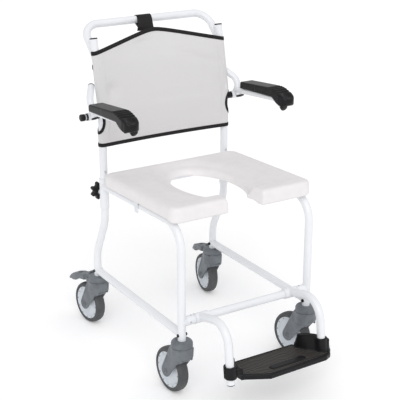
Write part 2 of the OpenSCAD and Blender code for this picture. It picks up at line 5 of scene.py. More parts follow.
import bpy
import numpy as np
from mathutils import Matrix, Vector


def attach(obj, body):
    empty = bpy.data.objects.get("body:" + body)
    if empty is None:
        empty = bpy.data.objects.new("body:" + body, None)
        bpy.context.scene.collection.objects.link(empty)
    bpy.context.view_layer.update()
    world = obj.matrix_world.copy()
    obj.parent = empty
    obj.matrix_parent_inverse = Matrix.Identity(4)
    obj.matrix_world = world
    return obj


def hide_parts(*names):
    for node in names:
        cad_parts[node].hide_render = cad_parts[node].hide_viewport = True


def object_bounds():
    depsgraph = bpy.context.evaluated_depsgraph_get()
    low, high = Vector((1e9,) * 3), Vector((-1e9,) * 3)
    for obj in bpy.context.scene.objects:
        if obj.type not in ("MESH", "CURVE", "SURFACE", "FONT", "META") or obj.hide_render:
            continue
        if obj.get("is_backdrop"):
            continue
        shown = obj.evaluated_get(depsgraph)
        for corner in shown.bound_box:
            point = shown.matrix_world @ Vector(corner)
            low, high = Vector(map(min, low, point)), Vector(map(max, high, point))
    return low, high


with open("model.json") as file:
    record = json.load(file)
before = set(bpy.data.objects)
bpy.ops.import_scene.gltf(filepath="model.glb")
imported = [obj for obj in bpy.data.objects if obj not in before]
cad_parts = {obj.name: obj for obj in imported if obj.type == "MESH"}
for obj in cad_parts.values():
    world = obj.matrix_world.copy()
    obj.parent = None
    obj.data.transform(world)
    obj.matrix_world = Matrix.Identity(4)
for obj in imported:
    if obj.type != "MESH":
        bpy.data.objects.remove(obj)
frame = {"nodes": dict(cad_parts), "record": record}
CAD_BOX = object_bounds()
NODES = frame["nodes"]
JOINTS = {joint["name"]: joint for joint in frame["record"]["behaviour"]["joints"]}
MM = 0.001
MM_PER_METRE = 1000
SIDES = {"left": -1, "right": 1}
CASTORS = ["front_left", "front_right", "rear_left", "rear_right"]

# Driving sizes in millimetres; Y is measured back from the front legs.
FRONT_LEG_Y = JOINTS["footrest_swing"]["pos_m"][1] / MM
SIDE_X = 201
TUBE_R = 11
SOCKET_Y = 426.5
REAR_LEG_Y = 486.5
RAIL_Z = 484
RAIL_FALL = radians(2.5)
BACK_LEAN = radians(11.4)
BACK_BEND_Z = 700
CROSS_TUBE_Z = 219.4
LOWER_RAIL_Z = 184
PIVOT_Z = 673
HANDLE_JOINT_Z = 829
HANDLE_JOINT_Y = SOCKET_Y + (HANDLE_JOINT_Z - BACK_BEND_Z) * tan(BACK_LEAN)
HANDLE_LEAN = radians(46)
BAR_Z = 904
BAR_Y = HANDLE_JOINT_Y + (BAR_Z - HANDLE_JOINT_Z) * tan(HANDLE_LEAN)

# ---- camera, floor and light

CAMERA_AZIMUTH = radians(31.58)
CAMERA_DROP = radians(20.34)
CAMERA_DISTANCE = 2.935
CAMERA_AIM = (-0.0103, 0.0, -0.0226)
CAMERA_LENS = 95.2
CAMERA_SHIFT = (0.0036, 0.0104)

SKY_COLOUR, SKY_STRENGTH = (0.985, 0.985, 1.0, 1), 0.69
FLOOR_COLOUR, FLOOR_GLOW, FLOOR_SIZE = (0.93, 0.93, 0.93), 0.16, 40


def add_camera():
    low, high = CAD_BOX
    aim = (low + high) / 2 + Vector(CAMERA_AIM)
    look = Vector((
        sin(CAMERA_AZIMUTH) * cos(CAMERA_DROP),
        cos(CAMERA_AZIMUTH) * cos(CAMERA_DROP),
        -sin(CAMERA_DROP),
    ))
    data = bpy.data.cameras.new("camera")
    data.lens = CAMERA_LENS
    data.shift_x, data.shift_y = CAMERA_SHIFT
    camera = bpy.data.objects.new("camera", data)
    camera.location = aim - look * CAMERA_DISTANCE
    camera.rotation_euler = (pi / 2 - CAMERA_DROP, 0, -CAMERA_AZIMUTH)
    bpy.context.scene.collection.objects.link(camera)
    bpy.context.scene.camera = camera


def add_sun(name, strength, softness, tilt, turn):
    """Softness is the sun's width in the sky; softness, tilt and turn are in degrees."""
    data = bpy.data.lights.new(name, "SUN")
    data.energy = strength
    data.angle = radians(softness)
    light = bpy.data.objects.new(name, data)
    light.rotation_euler = (radians(tilt), 0, radians(turn))
    bpy.context.scene.collection.objects.link(light)


def add_studio():
    world = bpy.data.worlds.new("studio")
    world.use_nodes = True
    background = world.node_tree.nodes["Background"]
    background.inputs["Color"].default_value = SKY_COLOUR
    background.inputs["Strength"].default_value = SKY_STRENGTH
    bpy.context.scene.world = world
    bpy.context.scene.view_settings.view_transform = "Standard"
    add_sun("key_light", strength=1.15, softness=50, tilt=50, turn=-30)
    add_sun("fill_light", strength=0.25, softness=80, tilt=40, turn=60)
    bpy.ops.mesh.primitive_plane_add(size=FLOOR_SIZE, location=(0, 0, CAD_BOX[0].z))
    floor = bpy.context.object
    floor.name = "studio_floor"
    paper = plain_material("floor_paper", FLOOR_COLOUR, roughness=0.95, shine=0.0)
    set_shader(paper, "Emission Color", (1, 1, 1, 1))
    set_shader(paper, "Emission Strength", FLOOR_GLOW)
    floor.data.materials.append(paper)
    floor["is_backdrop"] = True


# ---- materials
# Sizes, heights and periods of textures are in millimetres; colours are linear.

WAVE_SCALE = 314  # the wave texture's scale at which its period is 1 mm


def surface_shader(material):
    return material.node_tree.nodes["Principled BSDF"]


def set_shader(material, socket, value):
    surface_shader(material).inputs[socket].default_value = value


def plain_material(name, colour, roughness, metallic=0.0, shine=0.5):
    material = bpy.data.materials.new(name)
    material.use_nodes = True
    set_shader(material, "Base Color", (*colour, 1))
    set_shader(material, "Roughness", roughness)
    set_shader(material, "Metallic", metallic)
    set_shader(material, "Specular IOR Level", shine)
    return material


def add_node(material, kind, links=(), **values):
    """A shader node with its values set and its inputs linked from other nodes' outputs."""
    tree = material.node_tree
    node = tree.nodes.new(kind)
    for name, value in values.items():
        if name in node.inputs:
            node.inputs[name].default_value = value
        else:
            setattr(node, name, value)
    for name, output in links:
        tree.links.new(output, node.inputs[name])
    return node


def noise(material, size, **values):
    """The value of a noise with patches of about the given size."""
    place = add_node(material, "ShaderNodeTexCoord").outputs["Object"]
    texture = add_node(material, "ShaderNodeTexNoise", [("Vector", place)],
                       Scale=MM_PER_METRE / size, **values)
    return texture.outputs["Fac"]


def grain(material, size, height):
    """Fine irregular relief."""
    return relief(material, noise(material, size, Detail=3.0, Roughness=0.55), height)


def relief(material, output, height):
    """Raises the surface by a texture's value, on top of its other relief."""
    shader = surface_shader(material)
    links = [("Height", output)]
    if shader.inputs["Normal"].is_linked:
        links.append(("Normal", shader.inputs["Normal"].links[0].from_socket))
    bump = add_node(material, "ShaderNodeBump", links, Strength=1.0, Distance=height * MM)
    material.node_tree.links.new(bump.outputs["Normal"], shader.inputs["Normal"])
    return material


def tinted(material, output, dark, light, low, high):
    """Colours the surface from dark, at a texture's low value, to light, at its high one."""
    ramp = add_node(material, "ShaderNodeValToRGB", [("Fac", output)])
    for stop, place, colour in zip(ramp.color_ramp.elements, (low, high), (dark, light)):
        stop.position = place
        stop.color = (*colour, 1)
    base = surface_shader(material).inputs["Base Color"]
    material.node_tree.links.new(ramp.outputs["Color"], base)
    return material


def cloudy(material, size, dark, light):
    """Faint patches of colour of the given size."""
    return tinted(material, noise(material, size, Detail=2.0), dark, light, 0.35, 0.65)


def bands(material, period, direction, distortion=0.0, detail=0.0, turn=(0, 0, 0)):
    """The value of a wave of the given period across the surface."""
    place = add_node(material, "ShaderNodeTexCoord").outputs["Object"]
    mapping = add_node(material, "ShaderNodeMapping", [("Vector", place)], Rotation=turn)
    wave = add_node(material, "ShaderNodeTexWave", [("Vector", mapping.outputs["Vector"])],
                    Scale=WAVE_SCALE / period, Distortion=distortion, Detail=detail,
                    bands_direction=direction)
    wave.inputs["Detail Scale"].default_value = 0.6
    return wave.outputs["Fac"]


def combined(material, first, second, operation="MULTIPLY"):
    node = add_node(material, "ShaderNodeMath", operation=operation)
    material.node_tree.links.new(first, node.inputs[0])
    material.node_tree.links.new(second, node.inputs[1])
    return node.outputs["Value"]


def powder_coat():
    """White paint with a faint orange peel."""
    material = plain_material("powder_coat", (0.80, 0.812, 0.835), roughness=0.28)
    set_shader(material, "Coat Weight", 0.25)
    cloudy(material, 90, dark=(0.785, 0.80, 0.825), light=(0.81, 0.82, 0.84))
    return grain(material, size=1.6, height=0.05)


def moulded(name, colour, roughness, grain_size, grain_height, spread=0.12, shine=0.5):
    """Grained plastic or rubber; spread is how far its colour strays."""
    dark = tuple(c * (1 - spread) for c in colour)
    light = tuple(min(1, c * (1 + spread)) for c in colour)
    material = plain_material(name, colour, roughness, shine=shine)
    cloudy(material, 25, dark, light)
    return grain(material, grain_size, grain_height)


def woven(name, colour, roughness, shine, sheen, threads, dark, light, low, height):
    """Cloth of two waves of threads (period, direction, distortion), dark where both are low."""
    material = plain_material(name, colour, roughness, shine=shine)
    set_shader(material, "Sheen Weight", sheen)
    waves = [bands(material, *wave) for wave in threads]
    weave = combined(material, *waves, "MAXIMUM")
    tinted(material, weave, dark, light, low, 1 - low)
    return relief(material, weave, height)


def tread_plastic():
    """Wavy ridges with finer ones on them."""
    material = plain_material("tread_plastic", (0.02, 0.018, 0.017), roughness=0.45, shine=0.2)
    waves = bands(material, 7.5, "X", distortion=7.0, detail=1.0, turn=(0, 0, radians(-38)))
    fine = bands(material, 2.0, "Y", distortion=1.0)
    pattern = combined(material, waves, combined(material, fine, waves), "ADD")
    tinted(material, waves, (0.010, 0.0095, 0.009), (0.085, 0.077, 0.070), 0.1, 0.9)
    return relief(material, pattern, height=0.6)


def zinc_plate():
    material = plain_material("zinc_steel", (0.6, 0.61, 0.63), roughness=0.3, metallic=1.0)
    return grain(material, size=0.5, height=0.012)


# Moulded finishes: name, colour, roughness, size and height of the grain, then spread and shine.
FINISH = {
    "frame_tube": powder_coat(),
    "steel_fastener": zinc_plate(),
    "castor_housing": moulded("castor_nylon", (0.15, 0.165, 0.18), 0.45, 0.9, 0.05, shine=0.35),
    "wheel_disc": moulded("wheel_nylon", (0.62, 0.66, 0.70), 0.4, 0.8, 0.03, 0.03),
    "tyre": moulded("tyre_rubber", (0.075, 0.077, 0.08), 0.6, 0.7, 0.06, shine=0.3),
    "black_trim": moulded("black_plastic", (0.012, 0.012, 0.013), 0.35, 0.8, 0.04, shine=0.22),
    "arm_pad": moulded("pad_foam", (0.009, 0.009, 0.010), 0.33, 0.7, 0.06, shine=0.2),
    "back_fabric": woven(
        "mesh_fabric", (0.64, 0.63, 0.63), 0.85, shine=0.2, sheen=0.2,
        threads=[(1.5, "X"), (1.1, "Z", 0.6)],
        dark=(0.57, 0.56, 0.562), light=(0.70, 0.69, 0.69), low=0.2, height=0.16),
    "webbing": woven(
        "webbing_tape", (0.015, 0.014, 0.015), 0.8, shine=0.1, sheen=0.08,
        threads=[(1.4, "DIAGONAL"), (1.0, "X")],
        dark=(0.006, 0.0055, 0.006), light=(0.024, 0.022, 0.023), low=0.1, height=0.25),
    "footplate": moulded("footplate_plastic", (0.008, 0.008, 0.009), 0.35, 0.9, 0.05, shine=0.2),
    "footplate_tread": tread_plastic(),
    "seat_skin": moulded("seat_skin", (0.80, 0.775, 0.775), 0.42, 1.3, 0.07, 0.015),
    "seat_clip": moulded("clip_nylon", (0.75, 0.77, 0.80), 0.4, 0.8, 0.03, 0.02),
}


def finish_cad_nodes():
    slots = {part["node"]: part["material_slot"] for part in frame["record"]["subparts"]}
    for name, node in NODES.items():
        node.data.materials.clear()
        node.data.materials.append(FINISH[slots[name]])


# ---- shapes
# A shape is (points in millimetres, faces), and its Y counts from the front legs.

CRISP, CRISPER, SOFTER = 40, 30, 50  # degrees


def piece(name, shape, finish, body, replaces=(), crease=0, smooth=True):
    """A shown object from a shape, riding on a CAD body, crisp where it turns by more than crease."""
    points, faces = shape
    points = np.array(points, float) + (0, FRONT_LEG_Y, 0)
    mesh = bpy.data.meshes.new(name)
    mesh.from_pydata((points * MM).tolist(), [], [list(map(int, face)) for face in faces])
    mesh.polygons.foreach_set("use_smooth", [smooth] * len(mesh.polygons))
    mesh.validate()
    mesh.update()
    made = bpy.data.objects.new(name, mesh)
    bpy.context.scene.collection.objects.link(made)
    mesh.materials.append(FINISH[finish])
    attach(made, body)
    if crease:
        mesh.set_sharp_from_angle(angle=radians(crease))
    if replaces:
        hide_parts(*replaces)
    return made


def joined(shapes):
    points, faces, count = [], [], 0
    for some_points, some_faces in shapes:
        points.append(np.array(some_points, float))
        faces += [[int(k) + count for k in face] for face in some_faces]
        count += len(some_points)
    return np.concatenate(points), faces


def on_side(shape, side):
    """A shape made for the right side, mirrored where the side is -1."""
    points, faces = shape
    return shape if side > 0 else (points * (-1, 1, 1), [list(face)[::-1] for face in faces])


ANY_DIRECTION = (0.3, 0.5, 0.8)  # lies along no path
LEAST_R = 0.01  # keeps the points of a profile's end on the axis apart


def unit(vector):
    return np.array(vector, float) / np.linalg.norm(vector)


def turned_shape(profile, origin, axis, segments=48, ripple=None):
    """A profile of (radius, height) pairs, turned; a ripple(k, h) swells segment k at height h."""
    axis = unit(axis)
    across = unit(np.cross(axis, (0, 0, 1) if abs(axis[2]) < 0.9 else (1, 0, 0)))
    third = np.cross(axis, across)
    points, faces = [], []
    rows = len(profile)
    on_axis = profile[0][0] == 0  # otherwise the profile closes into a ring
    for k in range(segments):
        angle = 2 * pi * k / segments
        out = across * cos(angle) + third * sin(angle)
        for r, h in profile:
            wide = max(r, LEAST_R) * (1 + (ripple(k, h) if ripple else 0))
            points.append(np.array(origin) + out * wide + axis * h)
        following = (k + 1) % segments
        for row in range(rows - on_axis):
            after = (row + 1) % rows
            faces.append((k * rows + row, following * rows + row,
                          following * rows + after, k * rows + after))
    return np.array(points), faces


def swept_shape(path, section, closed=True, up=None):
    """A flat section of (side, over) pairs along a path, its side square to up where that is set."""
    path = np.array(path, float)
    count, rings = len(section), []
    side = None
    last = len(path) - 1
    for k in range(len(path)):
        before = path[k - 1] if k or closed else path[0]
        after = path[(k + 1) % len(path)] if k < last or closed else path[last]
        along = unit(after - before)
        if up is not None:
            side = np.cross(along, up)
        elif side is None:
            side = np.cross(along, ANY_DIRECTION)
        side = unit(side - along * side.dot(along))
        over = np.cross(side, along)
        rings += [path[k] + side * s + over * u for s, u in section]
    faces = []
    for k in range(len(path) if closed else last):
        following = (k + 1) % len(path)
        for j in range(count):
            after = (j + 1) % count
            faces.append((k * count + j, k * count + after,
                          following * count + after, following * count + j))
    if not closed:
        faces += [list(range(count))[::-1], [last * count + j for j in range(count)]]
    return np.array(rings), faces


def arc(centre, r, start, end, steps):
    """Points on an arc from start to end, in degrees."""
    angles = [radians(start + (end - start) * k / steps) for k in range(steps + 1)]
    return [(centre[0] + r * cos(a), centre[1] + r * sin(a)) for a in angles]


def round_section(r, steps):
    return arc((0, 0), r, 0, 360, steps)[:-1]


# ---- shapes from distance fields
# A field gives the distance outside a solid at points p, so it is negative inside.

FAR = 1e9


def surface_net(field, low, high, step):
    """The closed surface where field is 0, as a shape, from a grid of the given step."""
    low = np.array(low, float) - 2 * step
    counts = np.ceil((np.array(high, float) - low) / step).astype(int) + 3
    axes = [low[k] + step * np.arange(counts[k]) for k in range(3)]
    values = field(np.stack(np.meshgrid(*axes, indexing="ij")))
    cells = counts - 1
    total = np.zeros((*cells, 3))
    hits = np.zeros(cells)
    rings = []
    for axis in range(3):
        side_a, side_b = (axis + 1) % 3, (axis + 2) % 3
        start = np.take(values, range(counts[axis] - 1), axis)
        end = np.take(values, range(1, counts[axis]), axis)
        edges = np.argwhere((start < 0) != (end < 0))
        start, end = start[tuple(edges.T)], end[tuple(edges.T)]
        crossing = low + step * edges
        crossing[:, axis] += step * start / (start - end)
        ring = []
        for back_a, back_b in ((1, 1), (0, 1), (0, 0), (1, 0)):
            cell = edges.copy()
            cell[:, side_a] -= back_a
            cell[:, side_b] -= back_b
            np.add.at(total, tuple(cell.T), crossing)
            np.add.at(hits, tuple(cell.T), 1)
            ring.append(cell)
        rings += [(ring, start < 0), (ring[::-1], start >= 0)]
    used = np.argwhere(hits > 0)
    index = np.full(cells, -1)
    index[tuple(used.T)] = np.arange(len(used))
    points = total[tuple(used.T)] / hits[tuple(used.T)][:, None]
    faces = np.concatenate([
        np.stack([index[tuple(cell[keep].T)] for cell in ring], axis=1) for ring, keep in rings
    ])
    return pulled_to_surface(field, points, step), faces


def pulled_to_surface(field, points, step, rounds=3, least_slope=0.05):
    """Moves points down the field's slope to where it is 0."""
    nudge = step * 0.2
    for _ in range(rounds):
        value = field(points.T)
        slope = np.stack([
            (field((points + offset).T) - field((points - offset).T)) / (2 * nudge)
            for offset in np.eye(3) * nudge
        ], axis=1)
        size = np.maximum(np.sum(slope ** 2, axis=1), least_slope)
        move = slope * (value / size)[:, None]
        length = np.linalg.norm(move, axis=1)[:, None]
        points = points - move * np.minimum(1, 0.5 * step / np.maximum(length, 1e-9))
    return points


def smooth_min(a, b, blend):
    """Two solids joined with a fillet of about blend."""
    share = np.clip(0.5 + 0.5 * (b - a) / blend, 0, 1)
    return b * (1 - share) + a * share - blend * share * (1 - share)


def smooth_max(a, b, blend):
    return -smooth_min(-a, -b, blend)


def column(vector, p):
    """A vector shaped to be added to the points p."""
    return np.reshape(vector, (3,) + (1,) * (p.ndim - 1))


def rod_field(p, a, b, r):
    """Distance to a round-ended rod from a to b."""
    along = column(np.subtract(b, a), p)
    away = p - column(a, p)
    share = np.clip(np.sum(away * along, axis=0) / np.sum(along * along), 0, 1)
    return np.linalg.norm(away - share * along, axis=0) - r


def box_field(p, centre, half, r):
    """Distance to a box with edges rounded to r."""
    away = np.abs(p - column(centre, p)) - column(half, p) + r
    return np.linalg.norm(np.maximum(away, 0), axis=0) + np.minimum(away.max(axis=0), 0) - r


def rounded_corner(a, b, r):
    """What two solids share, with the edge rounded to r."""
    outer = np.hypot(np.maximum(a + r, 0), np.maximum(b + r, 0))
    return outer + np.minimum(np.maximum(a + r, b + r), 0) - r


def rectangle_field(u, v, centre, half, r):
    return rounded_corner(np.abs(u - centre[0]) - half[0], np.abs(v - centre[1]) - half[1], r)


def slab(outline, across, half, r):
    """A flat outline's distance thickened to half each way, with edges rounded to r."""
    return rounded_corner(outline, np.abs(across) - half, r)


def outline_field(u, v, corners):
    """Signed distance in a plane to the closed outline through corners."""
    best = np.full(u.shape, FAR)
    inside = np.zeros(u.shape, bool)
    for (u0, v0), (u1, v1) in zip(corners, corners[1:] + corners[:1]):
        du, dv = u1 - u0, v1 - v0
        share = np.clip(((u - u0) * du + (v - v0) * dv) / (du * du + dv * dv), 0, 1)
        best = np.minimum(best, (u - u0 - share * du) ** 2 + (v - v0 - share * dv) ** 2)
        if v0 != v1:
            crosses = ((v0 <= v) & (v < v1)) | ((v1 <= v) & (v < v0))
            inside ^= crosses & (u < u0 + (v - v0) / dv * du)
    return np.where(inside, -1, 1) * np.sqrt(best)


def step_up(value, start, end):
    """0 before start, 1 after end, with a smooth climb between."""
    share = np.clip((value - start) / (end - start), 0, 1)
    return share * share * (3 - 2 * share)


# ---- seat

SEAT_FRONT, SEAT_REAR, SEAT_HALF_W, SEAT_T = 8, 404, 219, 34
SEAT_CORNER_R, SEAT_GAP = 30, 0.3
SEAT_TOP_R, SEAT_BOTTOM_R, SEAT_WALL_R = 12, 4, 5
HOLE_Y, HOLE_HALF_W, HOLE_FRONT, HOLE_REAR = 200, 80, 154, 141
HOLE_FLARE = 12
NECK_Y, NECK_HALF_W, NECK_SPLAY, NECK_FLARE = 68, 44, 0.16, 2
# Depths, and the distances from an edge between which each takes hold.
FUNNEL_DEPTH, FUNNEL_FROM, FUNNEL_TO = 11, 48, 4
DISH_DEPTH, DISH_FROM, DISH_TO = 3.0, 14, 60
DROOP, DROOP_FROM, DROOP_TO = 6.5, 48, 22
LIP_FROM, LIP_TO = 50, 66
CREASE_Y, CREASE_W, CREASE_DEPTH, CREASE_END_X, CREASE_FULL_X = 57, 4, 1.6, 175, 110


def hole_field(x, y, grow):
    """Distance outside the oval opening, whose outline is grown by grow."""
    long = np.where(y > HOLE_Y, HOLE_REAR, HOLE_FRONT) + grow
    wide = HOLE_HALF_W + grow
    share = np.hypot(x / wide, (y - HOLE_Y) / long)
    slope = np.hypot(x / wide ** 2, (y - HOLE_Y) / long ** 2) / np.maximum(share, 1e-6)
    return (share - 1) / np.maximum(slope, 1e-4)


def seat_field(p):
    """Horseshoe cushion, at height h over the rails; its front droops behind a shallow crease."""
    x, y, h = p
    centre = (0, (SEAT_FRONT + SEAT_REAR) / 2)
    half = (SEAT_HALF_W, (SEAT_REAR - SEAT_FRONT) / 2)
    outer = rectangle_field(x, y, centre, half, SEAT_CORNER_R)
    rise = np.clip(h / SEAT_T, -0.2, 1)
    hole = hole_field(x, y, 0) - HOLE_FLARE * rise
    neck = NECK_HALF_W + NECK_SPLAY * np.maximum(NECK_Y - y, 0) + NECK_FLARE * rise
    slot = np.maximum(np.abs(x) - neck, y - NECK_Y - 40)
    slot = np.maximum(slot, SEAT_FRONT - 20 - y)
    plan = smooth_max(outer, -np.minimum(hole, slot), SEAT_WALL_R)
    lip = step_up(y, LIP_FROM, LIP_TO)
    inward = -hole_field(x, y, HOLE_FLARE)
    funnel = FUNNEL_DEPTH * step_up(inward, -FUNNEL_FROM, -FUNNEL_TO) * lip
    crease = CREASE_DEPTH * np.exp(-((y - CREASE_Y) / CREASE_W) ** 2)
    crease = crease * step_up(-np.abs(x), -CREASE_END_X, -CREASE_FULL_X)
    dish = DISH_DEPTH * step_up(-outer, DISH_FROM, DISH_TO) * lip
    top = SEAT_T - funnel - crease - dish
    droop = DROOP * step_up(-y, -DROOP_FROM, -DROOP_TO)
    middle = (top - droop) / 2
    edge = np.where(h > middle, SEAT_TOP_R, SEAT_BOTTOM_R)
    return slab(plan, h - middle, (top + droop) / 2, edge)


def build_seat():
    low = (-SEAT_HALF_W, SEAT_FRONT, -7)
    points, faces = surface_net(seat_field, low, (SEAT_HALF_W, SEAT_REAR, SEAT_T), 2.5)
    x, y, h = points.T
    base_z = RAIL_Z + TUBE_R / cos(RAIL_FALL) + SEAT_GAP
    points = np.stack([
        x,
        y * cos(RAIL_FALL) + h * sin(RAIL_FALL),
        base_z - y * sin(RAIL_FALL) + h * cos(RAIL_FALL),
    ], axis=1)
    seat = piece("seat_padding", (points, faces), "seat_skin", "seat", ["seat_cushion"])


# ---- armrest pads

PAD_X, PAD_HALF_W, PAD_EDGE_R = 243.5, 23, 4.5
PAD_LOW, PAD_HIGH = (PAD_X - PAD_HALF_W, 153, 690), (PAD_X + PAD_HALF_W, 379, 739)
# The pad's outline from the side as (Y, Z), and the middles of the grooves between its ribs.
PAD_SIDE = [
    (378, 703), (376, 720), (373, 723), (226, 737), (210, 735.5), (195, 731), (180, 726),
    (168, 721), (160, 715), (154, 707), (160, 698), (174, 692), (196, 698), (218, 711),
]
GROOVES = [(233, 737.6), (222.5, 737.6), (212, 736.2), (201.5, 733.6), (191, 730.2)]
GROOVE_R = 4.2
TIP_Y, REAR_FROM_Y = 181, 300
TIP_DISH, TIP_DISH_R = (PAD_X, 165, 740), 23.5
# The arm's tube as the centres of its bends: the rear, the bend down and the tip.
ARM_REAR, ARM_BEND, ARM_TIP = (235, 420, 690), (235, 214, 708), (235, 150, 678.8)


def pad_field(p):
    """Foam pad with ribs across its droop, a hollow in its tip and a channel for the arm's tube."""
    x, y, z = p
    body = slab(outline_field(y, z, PAD_SIDE), x - PAD_X, PAD_HALF_W, PAD_EDGE_R)
    round_tip = np.hypot(x - PAD_X, np.maximum(0, TIP_Y - y) * 0.95) - PAD_HALF_W
    square_rear = rectangle_field(x, y, (PAD_X, 267.5), (PAD_HALF_W, 110.5), 5)
    body = smooth_max(body, np.where(y < TIP_Y, round_tip, -9), 5)
    body = smooth_max(body, np.where(y > REAR_FROM_Y, square_rear, -9), 3)
    for y0, z0 in GROOVES:
        start = (PAD_X - 30, y0 - 1, z0 + 0.4)
        groove = rod_field(p, start, (PAD_X + 30, y0 + 1, z0 + 0.4), GROOVE_R)
        body = smooth_max(body, -groove, 1.0)
    away = (x - TIP_DISH[0], y - TIP_DISH[1], z - TIP_DISH[2])
    dish = np.sqrt((away[0] * 1.1) ** 2 + (away[1] * 0.9) ** 2 + away[2] ** 2) - TIP_DISH_R
    body = smooth_max(body, -dish, 2.5)
    channel = np.minimum(rod_field(p, ARM_REAR, ARM_BEND, 10.2),
                         rod_field(p, ARM_BEND, ARM_TIP, 10.9))
    return smooth_max(body, -channel, 1)


def build_arm_pads():
    shape = surface_net(pad_field, PAD_LOW, PAD_HIGH, 1.5)
    for name, side in SIDES.items():
        pad = piece("arm_padding_" + name, on_side(shape, side), "arm_pad", "arm_" + name,
                    ["arm_pad_" + name])


# ---- fabric back

SLEEVE_R = 12
PANEL_LOW, PANEL_CORNER, PANEL_PEAK = 584, 844, 886
PEAK_X, PEAK_EASE, CORNER_X = -4, 26, 210
NOTCH_LOW, NOTCH_HIGH, NOTCH_DEPTH = 626, 685, 10
BIND_W, NOTCH_BIND_W = 9.5, 8
TAPE_LIFT, TAPE_CROWN = 0.9, 1.3
EDGE_U = SIDE_X + SLEEVE_R * pi / 2
LAYERS = {"front": -1, "rear": 1}
LAYER_ROWS, LAYER_COLUMNS = 105, 97
PANEL_SAG, SAG_HALF_W = 8, 190
LAYER_GAP, PART_FROM_U, PART_TO_U = 3, 150, 188
REAR_DROP, DROP_FROM_U, DROP_TO_U = 36, 96, 176
# Dimples and folds of the front layer: middle (u, Z), width, height, depth and slant.
HOLLOWS = [
    ((-166, 738), 16, 18, 8.0, 0), ((-48, 850), 30, 10, 6.0, 0),
    ((110, 800), 80, 11, 3.0, 0.28), ((40, 700), 170, 16, 2.0, 0),
]
SLANT_PIVOT = 100
HANDLE_PULL, PULL_FROM_Z, PULL_TO_Z, PULL_HALF_W = 24, 795, 890, 212
STITCH_U, STITCH_STEP, STITCH_LENGTH, STITCH_R = 184.0, 4.5, 2.8, 0.35


def upright_y(z):
    """Y of the uprights' axis at height z, with the bend eased."""
    lean = tan(BACK_LEAN)
    above = z - BACK_BEND_Z
    return SOCKET_Y + lean * 0.5 * (above + np.sqrt(above ** 2 + 120))


def panel_top(x):
    """Height of the fabric's top edge: two slopes that meet in a rounded peak."""
    fall = np.sqrt((x - PEAK_X) ** 2 + PEAK_EASE ** 2) - PEAK_EASE
    whole = hypot(CORNER_X, PEAK_EASE) - PEAK_EASE
    return PANEL_PEAK - (PANEL_PEAK - PANEL_CORNER) * fall / whole


def wrapped(u, r):
    """How far round the upright the fabric is at u, as an angle, and its X there."""
    wrap = np.clip((np.abs(u) - SIDE_X) / SLEEVE_R, 0, pi / 2)
    return wrap, np.where(wrap > 0, np.sign(u) * (SIDE_X + r * np.sin(wrap)), u)


def sleeve_points(face, u, z, lift):
    """Points on the fabric: face -1 is the front layer and 1 the rear; u runs across it."""
    r = SLEEVE_R + lift
    wrap, x = wrapped(u, r)
    front = -SLEEVE_R + PANEL_SAG * np.clip(1 - (u / SAG_HALF_W) ** 2, 0, 1)
    for (middle_u, middle_z), wide, tall, depth, slant in HOLLOWS:
        rise = z - slant * (SLANT_PIVOT - u) - middle_z
        front = front + depth * np.exp(-((u - middle_u) / wide) ** 2 - (rise / tall) ** 2)
    spread = 2 * SLEEVE_R - LAYER_GAP - (front + SLEEVE_R)
    rear = front + LAYER_GAP + spread * step_up(np.abs(u), PART_FROM_U, PART_TO_U)
    flat = np.where(face < 0, front - lift, rear + lift)
    y = np.where(wrap > 0, face * r * np.cos(wrap), flat)
    pull = HANDLE_PULL * step_up(z, PULL_FROM_Z, PULL_TO_Z)
    pull = pull * np.clip(1 - np.abs(u) / PULL_HALF_W, 0, 1) ** 1.1
    return np.stack([x, upright_y(z) + y + pull, z + 0 * x], axis=-1)


def notch_edge(z, grow):
    """How far across the layer reaches beside the half-moon cut-out, grown by grow."""
    half = (NOTCH_HIGH - NOTCH_LOW) / 2 + grow
    depth = NOTCH_DEPTH + grow
    r = (half ** 2 + depth ** 2) / (2 * depth)
    from_middle = z - (NOTCH_LOW + NOTCH_HIGH) / 2
    away = np.clip(1 - (from_middle / r) ** 2, 0, 1)
    inside = np.abs(from_middle) < half
    x = SIDE_X + SLEEVE_R + 1 - depth + r * (1 - np.sqrt(away))
    share = np.clip((x - SIDE_X) / SLEEVE_R, -1, 1)
    u = np.where(share > 0, SIDE_X + SLEEVE_R * np.arcsin(np.clip(share, 0, 1)), x)
    return np.where(inside & (x < SIDE_X + SLEEVE_R), u, EDGE_U)


def layer_top(face, u):
    """Height of the layer's top edge; the rear layer is lower beside the handle's joints."""
    top = panel_top(wrapped(u, SLEEVE_R)[1])
    if face > 0:
        share = (np.abs(u) - DROP_FROM_U) / (DROP_TO_U - DROP_FROM_U)
        top = top - 2 - REAR_DROP * np.clip(share, 0, 1)
    return top


def grid_faces(rows, columns, flip=False, closed_rows=False):
    """Faces between rows of points; with closed_rows the last row joins the first."""
    faces = []
    for row in range(rows if closed_rows else rows - 1):
        below = row * columns
        above = ((row + 1) % rows) * columns
        for column in range(columns - 1):
            face = (below + column, below + column + 1, above + column + 1, above + column)
            faces.append(face[::-1] if flip else face)
    return faces


def layer_shape(face):
    """One layer of the sleeve, with its points closer together round the uprights."""
    across = np.linspace(-1, 1, LAYER_COLUMNS)
    places = np.sign(across) * np.abs(across) ** 0.85
    rows = []
    for share in np.linspace(0, 1, LAYER_ROWS):
        z = PANEL_LOW + share * (PANEL_CORNER - PANEL_LOW)
        u = places * notch_edge(z, 0)
        top = layer_top(face, u)
        rows.append(sleeve_points(face, u, PANEL_LOW + share * (top - PANEL_LOW), 0))
    return np.array(rows).reshape(-1, 3), grid_faces(LAYER_ROWS, LAYER_COLUMNS, face > 0)


